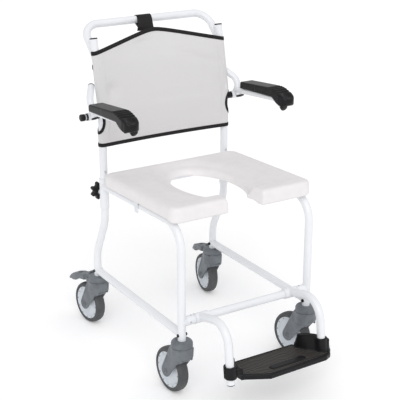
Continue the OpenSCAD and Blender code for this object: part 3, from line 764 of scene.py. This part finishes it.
def tape_shape(low, high, extra, points_at, flip):
    """Folded tape between two edges, crowned in its middle; points_at takes a place and a lift."""
    lift, crown = TAPE_LIFT + extra, TAPE_CROWN + extra
    rounds = [(low, -0.4), (low, lift), ((low + high) / 2, crown), (high, lift), (high, -0.4)]
    points = np.array([points_at(place, above) for place, above in rounds])
    return points.reshape(-1, 3), grid_faces(len(rounds), len(low), flip, closed_rows=True)


def binding_shape(face, low_line, high_line):
    u = np.linspace(-EDGE_U, EDGE_U, LAYER_COLUMNS)
    return tape_shape(low_line(u), high_line(u), 0,
                      lambda z, lift: sleeve_points(face, u, z, lift), face > 0)


def notch_binding_shape(face, side):
    """Tape round a half-moon cut-out."""
    z = np.linspace(NOTCH_LOW - 7, NOTCH_HIGH + 7, 49)
    inner, outer = side * notch_edge(z, 0), side * notch_edge(z, NOTCH_BIND_W)
    return tape_shape(inner, outer, 0.1,
                      lambda u, lift: sleeve_points(face, u, z, lift), face * side < 0)


def build_bindings(label, face):
    """Tapes of one layer's hem, top edge and cut-outs."""
    hem = binding_shape(face, lambda u: 0 * u + PANEL_LOW - 1, lambda u: 0 * u + PANEL_LOW + BIND_W)
    top = binding_shape(face, lambda u: layer_top(face, u) - BIND_W, lambda u: layer_top(face, u) + 1)
    moons = [notch_binding_shape(face, side) for side in (-1, 1)]
    return piece("back_binding_" + label, joined([hem, top, *moons]), "webbing", "back")


def build_back():
    """Two layers of one sleeve, held stretched by the uprights that it is pulled over."""
    tapes = {label: build_bindings(label, face) for label, face in LAYERS.items()}
    for label, face in LAYERS.items():
        layer = piece("back_layer_" + label, layer_shape(face), "back_fabric", "back",
                      ["back_panel"] if label == "front" else ())


def build_seams():
    """Rows of stitches that close the two pockets, beside the uprights."""
    stitches = []
    for side in (-1, 1):
        for z in np.arange(PANEL_LOW + 14, PANEL_CORNER - 8, STITCH_STEP):
            across = np.full(2, side * STITCH_U)
            ends = sleeve_points(LAYERS["front"], across, np.array([z, z + STITCH_LENGTH]), 0.25)
            stitches.append(swept_shape(ends, round_section(STITCH_R, 6), closed=False))
    piece("back_stitches", joined(stitches), "back_fabric", "back")


STRAP_X, STRAP_SHIFT = -11.0, 8
STRAP_HALF_T, STRAP_HALF_W, STRAP_CHAMFER = 0.9, 23, 0.4
# The closed foot of the loop below the bar, and the loose end beside it, as (Y, Z).
STRAP_FOOT = [(497, 889.5), (493.5, 884.5), (492.5, 880), (495, 878.5), (498.5, 882), (502, 887)]
LOOSE_END_X = -38
LOOSE_END = [(494, 890), (497, 884), (498, 878)]


def strap_section():
    thin, wide = STRAP_HALF_T - STRAP_CHAMFER, STRAP_HALF_W - STRAP_CHAMFER
    return [(-STRAP_HALF_T, -wide), (-STRAP_HALF_T, wide), (-thin, STRAP_HALF_W),
            (thin, STRAP_HALF_W), (STRAP_HALF_T, wide), (STRAP_HALF_T, -wide),
            (thin, -STRAP_HALF_W), (-thin, -STRAP_HALF_W)]


def build_strap():
    """Webbing loop over the bar, its foot drawn to the left, and its loose end."""
    over_bar = arc((BAR_Y, BAR_Z), TUBE_R + 1.1, -80, 142, 24)
    path = [(STRAP_X, y, z) for y, z in over_bar]
    path += [(STRAP_X - STRAP_SHIFT * step_up(-y, -560, -500), y, z) for y, z in STRAP_FOOT]
    shape = swept_shape(path, strap_section(), up=(1, 0, 0))
    loose = [(side * 1.2, over * 0.35) for side, over in strap_section()]
    end = swept_shape([(LOOSE_END_X, y, z) for y, z in LOOSE_END], loose, closed=False, up=(1, 0, 0))
    piece("strap_webbing", joined([shape, end]), "webbing", "back", ["handle_strap"], CRISP)


# ---- footplate

PLATE = [(-100, -78), (-113, -92), (-113, -149), (-45, -185), (137, -181), (155, -173),
         (168, -155), (168, -142), (158, -128), (103, -92), (98, -78)]
PLATE_TOP, PLATE_T, PLATE_EDGE_R = 110, 16, 4
TREAD_INSET, TREAD_DEPTH = 7, 1.6
TOE_BAR = ((28, -155), (56, 10), 8)
FOOT_X, FOOT_END_Y, FOOT_END_Z = 145, -149, 93
FOOT_LEAN = radians(7)
# The clamps round the footrest tubes: side, radius, lowest and highest Z.
CLAMPS = [(-1, 17, 110, 143), (1, 15.5, 100, 146)]
CLAMP_GAP = 0.3
# Boxes: middle, half size and edge radius.
LUG = ((-121, -143, 119), (12, 9, 9), 3)
CLAMP_SPLIT = ((-FOOT_X - 14, FOOT_END_Y + 3, 126), (8, 1.2, 22), 0.5)
STUD_COUNT, STUD_START, STUD_STEP, STUD_HALF = 7, (-104, -149.2), (9.5, -5.05), (2.6, 1.2, 1.4)
GUARD_TOP, GUARD_R, RIM_R = 151, 3, 3.8
# Guards lean outwards: plan points at the plate, then at the top, then the height of the top.
LEFT_GUARD = [
    ((-97, -90), (-100, -86), 128), ((-113, -108), (-124, -104), GUARD_TOP),
    ((-115, -124), (-128, -122), GUARD_TOP - 4), ((-110, -146), (-114, -150), 117),
]
RIGHT_GUARD = [
    ((97, -92), (100, -94), 122), ((98, -100), (99, -104), GUARD_TOP),
    ((112, -126), (118, -118), GUARD_TOP + 2), ((135, -148), (141, -141), GUARD_TOP + 1),
    ((158, -157), (162, -152), 142), ((166, -152), (166, -148), 112),
]


def guard_field(p, guard):
    """Leaning wall through the guard's points, with a rounded top."""
    x, y, z = p
    rise = np.clip((z - PLATE_TOP) / (GUARD_TOP - PLATE_TOP), 0, 1)
    wall = np.full(x.shape, FAR)
    for (low_a, high_a, top_a), (low_b, high_b, top_b) in zip(guard, guard[1:]):
        ax, ay = (low_a[k] + (high_a[k] - low_a[k]) * rise for k in (0, 1))
        bx, by = (low_b[k] + (high_b[k] - low_b[k]) * rise for k in (0, 1))
        along = (bx - ax) ** 2 + (by - ay) ** 2
        share = np.clip(((x - ax) * (bx - ax) + (y - ay) * (by - ay)) / along, 0, 1)
        thin = np.hypot(x - ax - share * (bx - ax), y - ay - share * (by - ay)) - GUARD_R
        top = z - (top_a + (top_b - top_a) * share)
        wall = np.minimum(wall, smooth_max(thin, top, 4))
    return smooth_max(wall, PLATE_TOP - PLATE_T + 2 - z, 1)


def rim_field(p, guard):
    """Rolled rim along the top of a guard."""
    tops = [(*high, top - GUARD_R) for _, high, top in guard[:4]]
    rods = [rod_field(p, a, b, RIM_R) for a, b in zip(tops, tops[1:])]
    return np.minimum.reduce(rods)


def footplate_field(p):
    """Plate with a sunk tread and a toe bar, two guards, and a clamp round each footrest tube."""
    x, y, z = p
    plan = outline_field(x, y, PLATE)
    body = slab(plan, z - PLATE_TOP + PLATE_T / 2, PLATE_T / 2, PLATE_EDGE_R)
    body = np.maximum(body, -np.maximum(plan + TREAD_INSET, PLATE_TOP - TREAD_DEPTH - z))
    toe_bar = rectangle_field(x, y, *TOE_BAR)
    body = np.minimum(body, slab(toe_bar, z - PLATE_TOP + 3, 3.6, 1))
    line_y = FOOT_END_Y + (z - FOOT_END_Z) * tan(FOOT_LEAN)
    for side, r, low, high in CLAMPS:
        from_tube = np.hypot(x - side * FOOT_X, y - line_y)
        clamp = slab(from_tube - r, z - (low + high) / 2, (high - low) / 2, 2.5)
        body = smooth_min(body, clamp, 4)
    for guard in (LEFT_GUARD, RIGHT_GUARD):
        body = smooth_min(body, guard_field(p, guard), 5)
        body = smooth_min(body, rim_field(p, guard), 2)
    body = smooth_min(body, box_field(p, *LUG), 5)
    for side in (-1, 1):
        body = np.maximum(body, TUBE_R + CLAMP_GAP - np.hypot(x - side * FOOT_X, y - line_y))
    return np.maximum(body, -box_field(p, *CLAMP_SPLIT))


def build_footplate():
    points, faces = surface_net(footplate_field, (-163, -186, 93), (170, -76, 153), 1.8)
    plate = piece("footplate_moulding", (points, faces), "footplate", "footplate", ["footplate"])
    plate.data.materials.append(FINISH["footplate_tread"])
    x, y, z = points.T
    sunk = np.abs(z - PLATE_TOP + TREAD_DEPTH) < 1.2
    tread = sunk & (outline_field(x, y, PLATE) < -5) & (rectangle_field(x, y, *TOE_BAR) > -1)
    for polygon in plate.data.polygons:
        if polygon.normal.z > 0.85 and all(tread[k] for k in polygon.vertices):
            polygon.material_index = 1


def build_studs():
    """A row of small blocks along the plate's front corner."""
    places = [np.add(STUD_START, np.multiply(STUD_STEP, k)) for k in range(STUD_COUNT)]
    studs = joined([box_shape((x, y, PLATE_TOP - 1.2), STUD_HALF) for x, y in places])
    piece("footplate_studs", studs, "footplate", "footplate", crease=CRISPER)


def box_shape(centre, half):
    corners = np.array([(sx, sy, sz) for sz in (-1, 1) for sy in (-1, 1) for sx in (-1, 1)])
    faces = [(0, 2, 3, 1), (4, 5, 7, 6), (0, 1, 5, 4), (2, 6, 7, 3), (0, 4, 6, 2), (1, 3, 7, 5)]
    return centre + corners * half, faces


# ---- castors
# A castor is made with its stem's axis at X = Y = 0 and its wheel trailing towards +Y.

WHEEL_R, TRAIL, AXLE_Z = 62.5, 48.6, 62.5
WHEEL_GAP, WHEEL_ROOM_HALF_W = 3.5, 17.3
FORK_HALF_W, FORK_EDGE_R, CAP_R = 23.3, 3, 29
HOUSING_Z, HOUSING_HALF_H = 131.3, 19
POCKET_INSET, POCKET_DEPTH, POCKET_TOP = 5.5, 1.2, 116
PEDAL_HALF_W, PEDAL_RIB = 16, 0.35
# Boxes: middle, half size and edge radius.
BRAKE_BLOCK = ((0, 33, 139), (14, 14, 8.7), 3)
BRAKE_SLOT = ((0, 48, 140), (9.4, 15, 20), 0.5)
FRONT_MOUTH = ((0, -24, 114), (15.5, 14, 8), 2)
REAR_ROOM = ((0, TRAIL + 30, 52), (WHEEL_ROOM_HALF_W, 30, 52), 1)
PEDAL_SLOT = ((0, 95, 130), (7, 11, 40), 3)
AXLE_CAP_R, AXLE_CAP_H, AXLE_CAP_SINK = 7.2, 2.6, 1.2
# Painted shade for the insides of the disc's slots, as dark blocks: their count, radius and X.
SLOT_SHADE_COUNT, SLOT_SHADE_R, SLOT_SHADE_X = 12, 46.2, 12.9
# The fork's arms and the brake pedal from the side, as (Y, Z).
ARM_SIDE = [(-21, 122), (-24, 149.7), (24, 149.7)] + arc((TRAIL, AXLE_Z), 18, 20, -140, 12)
PEDAL_SIDE = [(34, 136), (33, 150), (31, 168), (37, 169), (44, 158), (62, 151), (92, 146),
              (118, 137), (138, 124), (151, 112), (149, 107), (134, 112), (118, 115),
              (103, 119), (92, 126), (80, 131.5), (60, 134.5), (40, 135.5)]


def fork_field(p, braked):
    """Round housing and two arms with sunk faces; a braked one has a block for the pedal."""
    x, y, z = p
    housing = slab(np.hypot(x, y) - CAP_R + 0.2, z - HOUSING_Z, HOUSING_HALF_H, 2.5)
    outline = outline_field(y, z, ARM_SIDE)
    arms = slab(outline, x, FORK_HALF_W, FORK_EDGE_R)
    body = smooth_min(housing, arms, 3)
    if braked:
        body = smooth_min(body, box_field(p, *BRAKE_BLOCK), 3)
    from_axle = np.hypot(y - TRAIL, z - AXLE_Z)
    wheel_room = np.maximum(from_axle - WHEEL_R - WHEEL_GAP, np.abs(x) - WHEEL_ROOM_HALF_W)
    body = smooth_max(body, -wheel_room, 2)
    body = np.maximum(body, -box_field(p, *REAR_ROOM))
    sunk = FORK_HALF_W - POCKET_DEPTH - np.abs(x)
    pocket = np.maximum(outline + POCKET_INSET, np.maximum(sunk, z - POCKET_TOP))
    body = smooth_max(body, -pocket, 1)
    body = smooth_max(body, -box_field(p, *FRONT_MOUTH), 1)
    if braked:
        body = np.maximum(body, -box_field(p, *BRAKE_SLOT))
    return body


def pedal_field(p):
    """Brake pedal: narrow at its hinge, widest behind it, with a slot and a ribbed tip."""
    x, y, z = p
    half = PEDAL_HALF_W - 7 + 7 * step_up(y, 54, 60) - 8.5 * step_up(y, 108, 152)
    body = slab(outline_field(y, z, PEDAL_SIDE), x * PEDAL_HALF_W / half, PEDAL_HALF_W, 2.2)
    ribs = PEDAL_RIB * np.sin(y * 1.1) * step_up(y, 112, 118) * (z > 104)
    return np.maximum(body + ribs, -box_field(p, *PEDAL_SLOT))


def castor_frame(name):
    """A function that puts a castor's shape where the named castor is in the chair."""
    axis = JOINTS["wheel_spin_" + name]["axis"]
    origin = JOINTS["castor_swivel_" + name]["pos_m"]
    turn = np.array([[axis[0], -axis[1], 0], [axis[1], axis[0], 0], [0, 0, 1]])
    shift = np.array([origin[0] / MM, origin[1] / MM - FRONT_LEG_Y, 0])

    def put(shape):
        return np.array(shape[0]) @ turn.T + shift, shape[1]
    return put


def along_axle(profile, segments=64):
    return turned_shape(profile, (0, TRAIL, AXLE_Z), (1, 0, 0), segments)


def both_ways(profile):
    """Half a profile of (radius, height) pairs, completed by its mirror image."""
    return [(r, -h) for r, h in profile] + [(r, h) for r, h in profile[::-1]]


CAP_PROFILE = [(0, 151.2), (28.2, 151.2), (29, 152), (29, 160.5), (28.2, 163.2), (26, 165.9),
               (22.5, 167.6), (19, 168), (11.3, 168), (11.3, 163.3), (0, 163.3)]
DISC_PROFILE = both_ways([(6.1, 16.8), (13.6, 16.8), (15, 15.6), (15.6, 10.4), (18.5, 8.6),
                          (37.5, 7.2), (41.5, 8.6), (44, 12.2), (46, 13.2), (49.4, 13.3),
                          (49.9, 12.6)])
TYRE_PROFILE = both_ways([(50.05, 13.4), (51.2, 15), (53.2, 15.75), (55.8, 15.5), (58.4, 14.1),
                          (60.6, 11.4), (61.9, 8), (62.35, 4), (62.5, 0.8)])


def build_castors():
    low, high = (-CAP_R, -CAP_R, 44), (CAP_R, 68, 151)
    forks = {braked: surface_net(lambda p, b=braked: fork_field(p, b), low, high, 1.6)
             for braked in (False, True)}
    pedal = surface_net(pedal_field, (-18, 30, 100), (18, 153, 170), 1.6)
    caps = []
    for name in CASTORS:
        put = castor_frame(name)
        caps.append(put(turned_shape(CAP_PROFILE, (0, 0, 0), (0, 0, 1), 64)))
        braked = name.startswith("rear")
        build_castor(name, put, forks[braked])
        if braked:
            brake = name.replace("rear", "brake_pedal")
            piece(name.replace("rear", "pedal"), put(pedal), "castor_housing", brake, [brake])
    piece("cap_shells", joined(caps), "castor_housing", "frame", ["castor_caps"], CRISPER)


def build_castor(name, put, fork):
    castor, wheel = "castor_" + name, "wheel_" + name
    piece("fork_" + name, put(fork), "castor_housing", castor, ["castor_fork_" + name])
    cap, cap_x = screw_profile(AXLE_CAP_R, AXLE_CAP_H), FORK_HALF_W - AXLE_CAP_SINK
    caps = joined([turned_shape(cap, (side * cap_x, TRAIL, AXLE_Z), (side, 0, 0), 24)
                   for side in (-1, 1)])
    piece("axle_caps_" + name, put(caps), "castor_housing", castor, ["axle_" + name], CRISP)
    piece("disc_" + name, put(along_axle(DISC_PROFILE)), "wheel_disc", wheel, [wheel], CRISPER)
    tread = along_axle(TYRE_PROFILE, 96)
    piece("tread_" + name, put(tread), "tyre", wheel, ["tyre_" + name], SOFTER)
    # Dark blocks on the disc's rim are painted shade for the insides of its slots.
    slot_shades = joined([slot_shade_mark(k, side) for k in range(SLOT_SHADE_COUNT) for side in (-1, 1)])
    piece("disc_slot_shades_" + name, put(slot_shades), "castor_housing", wheel, smooth=False)


def slot_shade_mark(k, side):
    """Painted shade of a short slot moulded in the rim of the disc: a dark block where the slot's
    inside is in shade.
    """
    points, faces = box_shape((side * SLOT_SHADE_X, 0, SLOT_SHADE_R), (0.8, 2.4, 0.9))
    turn = 2 * pi * k / SLOT_SHADE_COUNT
    x, y, z = points.T
    return np.stack([x, TRAIL + y * cos(turn) - z * sin(turn),
                     AXLE_Z + y * sin(turn) + z * cos(turn)], axis=1), faces


# ---- knobs, plugs and screws

STAR_Z, STAR_OUT, STAR_HALF_T, STAR_EDGE_R = 442, 34.6, 7.4, 2.6
LOBES, LOBE_AT, LOBE_R, STAR_CORE_R = 7, 21, 5.2, 18
STAR_HOLLOW_OUT, STAR_HOLLOW_R = 66, 27
STAR_NECK_R, STAR_NECK_OUT, STAR_NECK_HALF_T = 9.8, 28, 5.6
STUD_R, STUD_LENGTH = 4, 12
GRIP_START_X, KNURL = 245.3, 0.035
# Turned profiles of the arm knob as (radius, height) from its flange outwards.
ARM_FLANGE = [(4.2, 0), (9.4, 0), (10, 0.6), (10, 3.4), (9.4, 4), (4.2, 4)]
ARM_RING = [(4.2, 4), (8.2, 4), (8.4, 4.4), (8.4, 7.6), (8.2, 8), (4.2, 8)]
ARM_GRIP = [(4.2, 8), (8.7, 8), (9.4, 8.8), (9.4, 19.6), (8.8, 20.9), (7.2, 21.7), (0, 21.7)]


def star_field(p):
    """Knob with lobes round its core and a shallow hollow in its face, out along w."""
    x, w, z = p
    turn = np.arctan2(z, x)
    part = 2 * pi / LOBES
    turn = turn - part * np.round(turn / part)
    out = np.hypot(x, z)
    lobes = np.hypot(out * np.cos(turn) - LOBE_AT, out * np.sin(turn)) - LOBE_R
    plan = smooth_min(lobes, out - STAR_CORE_R, 6)
    knob = slab(plan, w - STAR_OUT, STAR_HALF_T, STAR_EDGE_R)
    neck = slab(out - STAR_NECK_R, w - STAR_NECK_OUT, STAR_NECK_HALF_T, 1)
    knob = smooth_min(knob, neck, 2)
    hollow = np.sqrt(out ** 2 + (w - STAR_HOLLOW_OUT) ** 2) - STAR_HOLLOW_R
    return smooth_max(knob, -hollow, 2)


def build_star_knobs():
    points, faces = surface_net(star_field, (-27, 22, -27), (27, 42, 27), 1.1)
    for name, side in SIDES.items():
        knob = "star_knob_" + name
        grip = points + (side * SIDE_X, SOCKET_Y, STAR_Z)
        piece("star_grip_" + name, (grip, faces), "black_trim", knob, [knob])
        stud = turned_shape([(0, 0), (STUD_R, 0), (STUD_R, STUD_LENGTH), (0, STUD_LENGTH)],
                            (side * SIDE_X, SOCKET_Y + TUBE_R + 1, STAR_Z), (0, 1, 0), 24)
        piece("star_stud_" + name, stud, "steel_fastener", knob, crease=CRISP)


def knurl(k, h):
    """Every third segment of the arm knob's grip stands proud."""
    return KNURL * (k % 3 == 0) * (8.5 < h < 20.8)


def build_arm_knobs():
    for name, side in SIDES.items():
        knob = "arm_knob_" + name
        start = (side * GRIP_START_X, SOCKET_Y, PIVOT_Z)
        axis = (side, 0, 0)
        flange = turned_shape(ARM_FLANGE, start, axis)
        grip = joined([flange, turned_shape(ARM_GRIP, start, axis, 72, knurl)])
        piece("arm_grip_" + name, grip, "black_trim", knob, [knob], CRISPER)
        ring = turned_shape(ARM_RING, start, axis)
        piece("arm_grip_ring_" + name, ring, "steel_fastener", knob, crease=CRISP)


UPRIGHT_TOP_Z = 877
UPRIGHT_TOP_Y = SOCKET_Y + (UPRIGHT_TOP_Z - BACK_BEND_Z) * tan(BACK_LEAN)
# Ends of the right arm's tubes: the end, a point further in, and the plug's radius and length.
ARM_ENDS = [
    ((235, 180, 692.5), ARM_BEND, 10.4, 8),
    ((236, 398.5, 676), (239, 421.5, 721), 10, 4),
    ((215, 458.5, 748), (239, 421.5, 721), 9.5, 4),
]


def plug_shape(origin, direction, r, length):
    """A plug pressed in a tube's end, with a rounded rim."""
    profile = [(0, 0), (r, 0), (r, length - 1.4), (r - 0.4, length - 0.6), (r - 1.5, length),
               (0, length + 0.2)]
    return turned_shape(profile, origin, direction, 40)


def build_plugs():
    up = (0, sin(BACK_LEAN), cos(BACK_LEAN))
    down = (0, -sin(FOOT_LEAN), -cos(FOOT_LEAN))
    tops, feet = [], []
    for side in (-1, 1):
        tops.append(plug_shape((side * SIDE_X, UPRIGHT_TOP_Y, UPRIGHT_TOP_Z), up, TUBE_R, 3.5))
        feet.append(plug_shape((side * FOOT_X, FOOT_END_Y, FOOT_END_Z), down, TUBE_R - 0.4, 3))
    piece("upright_caps", joined(tops), "black_trim", "back", ["upright_plugs"], CRISP)
    piece("footrest_caps", joined(feet), "black_trim", "footrest", ["footrest_plugs"], CRISP)
    caps = joined([plug_shape(end, np.subtract(end, inner), r, length)
                   for end, inner, r, length in ARM_ENDS])
    for name, side in SIDES.items():
        piece("arm_caps_" + name, on_side(caps, side), "black_trim", "arm_" + name,
              ["arm_plugs_" + name], CRISP)


BOLT_Z, UPRIGHT_SCREW_Z = 183, 510
COLLAR_FRONT_X, COLLAR_TOP_X, COLLAR_R = 181, 173.5, 13


def screw_profile(r, height):
    """A domed head with a round recess, from its seat outwards."""
    shares = [(0, 0), (1, 0), (1, 0.35), (0.93, 0.66), (0.72, 0.92), (0.5, 1), (0.44, 0.9),
              (0.42, 0.45), (0, 0.4)]
    return [(r * across, height * up) for across, up in shares]


def build_screws():
    bolts, collars, uprights = [], [], []
    small = screw_profile(2.6, 1.6)
    for side in (-1, 1):
        for y in (0, REAR_LEG_Y):
            for r, height, way in ((5, 4.2, -side), (4.5, 3, side)):
                seat = (side * SIDE_X + way * TUBE_R, y, BOLT_Z)
                bolts.append(turned_shape(screw_profile(r, height), seat, (way, 0, 0), 24))
        front = (side * COLLAR_FRONT_X, -COLLAR_R, CROSS_TUBE_Z)
        top = (side * COLLAR_TOP_X, 0, CROSS_TUBE_Z + COLLAR_R)
        collars.append(turned_shape(small, front, (0, -1, 0), 20))
        collars.append(turned_shape(small, top, (0, 0, 1), 20))
        seat = (side * SIDE_X, SOCKET_Y - TUBE_R, UPRIGHT_SCREW_Z)
        uprights.append(turned_shape(screw_profile(3.6, 2), seat, (0, -1, 0), 20))
    piece("castor_bolt_heads", joined(bolts), "black_trim", "frame", ["castor_bolts"], CRISP)
    for name, heads, body in (("collar", collars, "frame"), ("upright", uprights, "back")):
        piece(name + "_screw_heads", joined(heads), "steel_fastener", body, [name + "_screws"],
              CRISP)


# ---- weld beads

REAR_CROSS_Y = SOCKET_Y - 32
SOCKET_R, SOCKET_LOW, SOCKET_HIGH = 13, 401, 487.4
BEAD_R, RING_R, SMALL_RING_R, BEAD_SIDES, BEAD_RIPPLE = 1.7, 1.2, 0.8, 8, 0.14


def weld_bead(centre, branch, main, main_r=TUBE_R, steps=72):
    """Rippled bead where a branch tube meets the side of a main tube."""
    branch, main = unit(branch), unit(main)
    across = unit(np.cross(branch, main))
    up = np.cross(across, branch)
    flat_branch = branch - main * branch.dot(main)
    a = flat_branch.dot(flat_branch)
    path = []
    for k in range(steps):
        angle = 2 * pi * k / steps
        start = TUBE_R * (cos(angle) * across + sin(angle) * up)
        flat_start = start - main * start.dot(main)
        b = flat_start.dot(flat_branch)
        c = flat_start.dot(flat_start) - main_r ** 2
        reach = (-b + sqrt(max(b * b - a * c, 0))) / a
        path.append(np.array(centre) + start + branch * reach)
    points, faces = swept_shape(path, round_section(BEAD_R, BEAD_SIDES))
    ripple = 1 + BEAD_RIPPLE * np.sin(np.repeat(np.arange(steps), BEAD_SIDES) * 2 * pi / 3)
    core = np.repeat(np.array(path), BEAD_SIDES, axis=0)
    return core + (points - core) * ripple[:, None], faces


def ring_bead(centre, r, bead):
    """Smooth bead round the mouth of a socket."""
    return turned_shape(arc((r, 0), bead, -90, 90, 6), centre, (0, 0, 1), 64)


def build_welds():
    """Beads of both side frames, and where the handle's ends meet the uprights."""
    frame_beads, back_beads = [], []
    up, fall = (0, 0, 1), tan(RAIL_FALL)
    handle = (0, BAR_Y - HANDLE_JOINT_Y, BAR_Z - HANDLE_JOINT_Z)
    lean = (0, sin(BACK_LEAN), cos(BACK_LEAN))
    for side in (-1, 1):
        x = side * SIDE_X
        inward = (-side, 0, 0)
        frame_beads += [
            weld_bead((x, 0, LOWER_RAIL_Z), (0, 1, 0), up),
            weld_bead((x, REAR_LEG_Y, LOWER_RAIL_Z), (0, -1, 0), up),
            weld_bead((x, 0, CROSS_TUBE_Z), inward, up),
            weld_bead((x, REAR_CROSS_Y, RAIL_Z - REAR_CROSS_Y * fall), inward, (0, 1, -fall)),
            weld_bead((x, SOCKET_Y, RAIL_Z - SOCKET_Y * fall), (0, -1, fall), up, SOCKET_R),
            ring_bead((x, SOCKET_Y, SOCKET_LOW), 11.6, RING_R),
            ring_bead((x, SOCKET_Y, SOCKET_HIGH), 12.4, SMALL_RING_R),
        ]
        back_beads.append(weld_bead((x, HANDLE_JOINT_Y, HANDLE_JOINT_Z), handle, lean))
    piece("frame_weld_beads", joined(frame_beads), "frame_tube", "frame")
    piece("handle_weld_beads", joined(back_beads), "frame_tube", "back")


# ---- assembly

add_camera()
add_studio()
finish_cad_nodes()
build_seat()
build_arm_pads()
build_back()
build_seams()
build_strap()
build_footplate()
build_studs()
build_castors()
build_star_knobs()
build_arm_knobs()
build_plugs()
build_screws()
build_welds()

[[list(corner) for corner in box] for box in (CAD_BOX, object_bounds())]
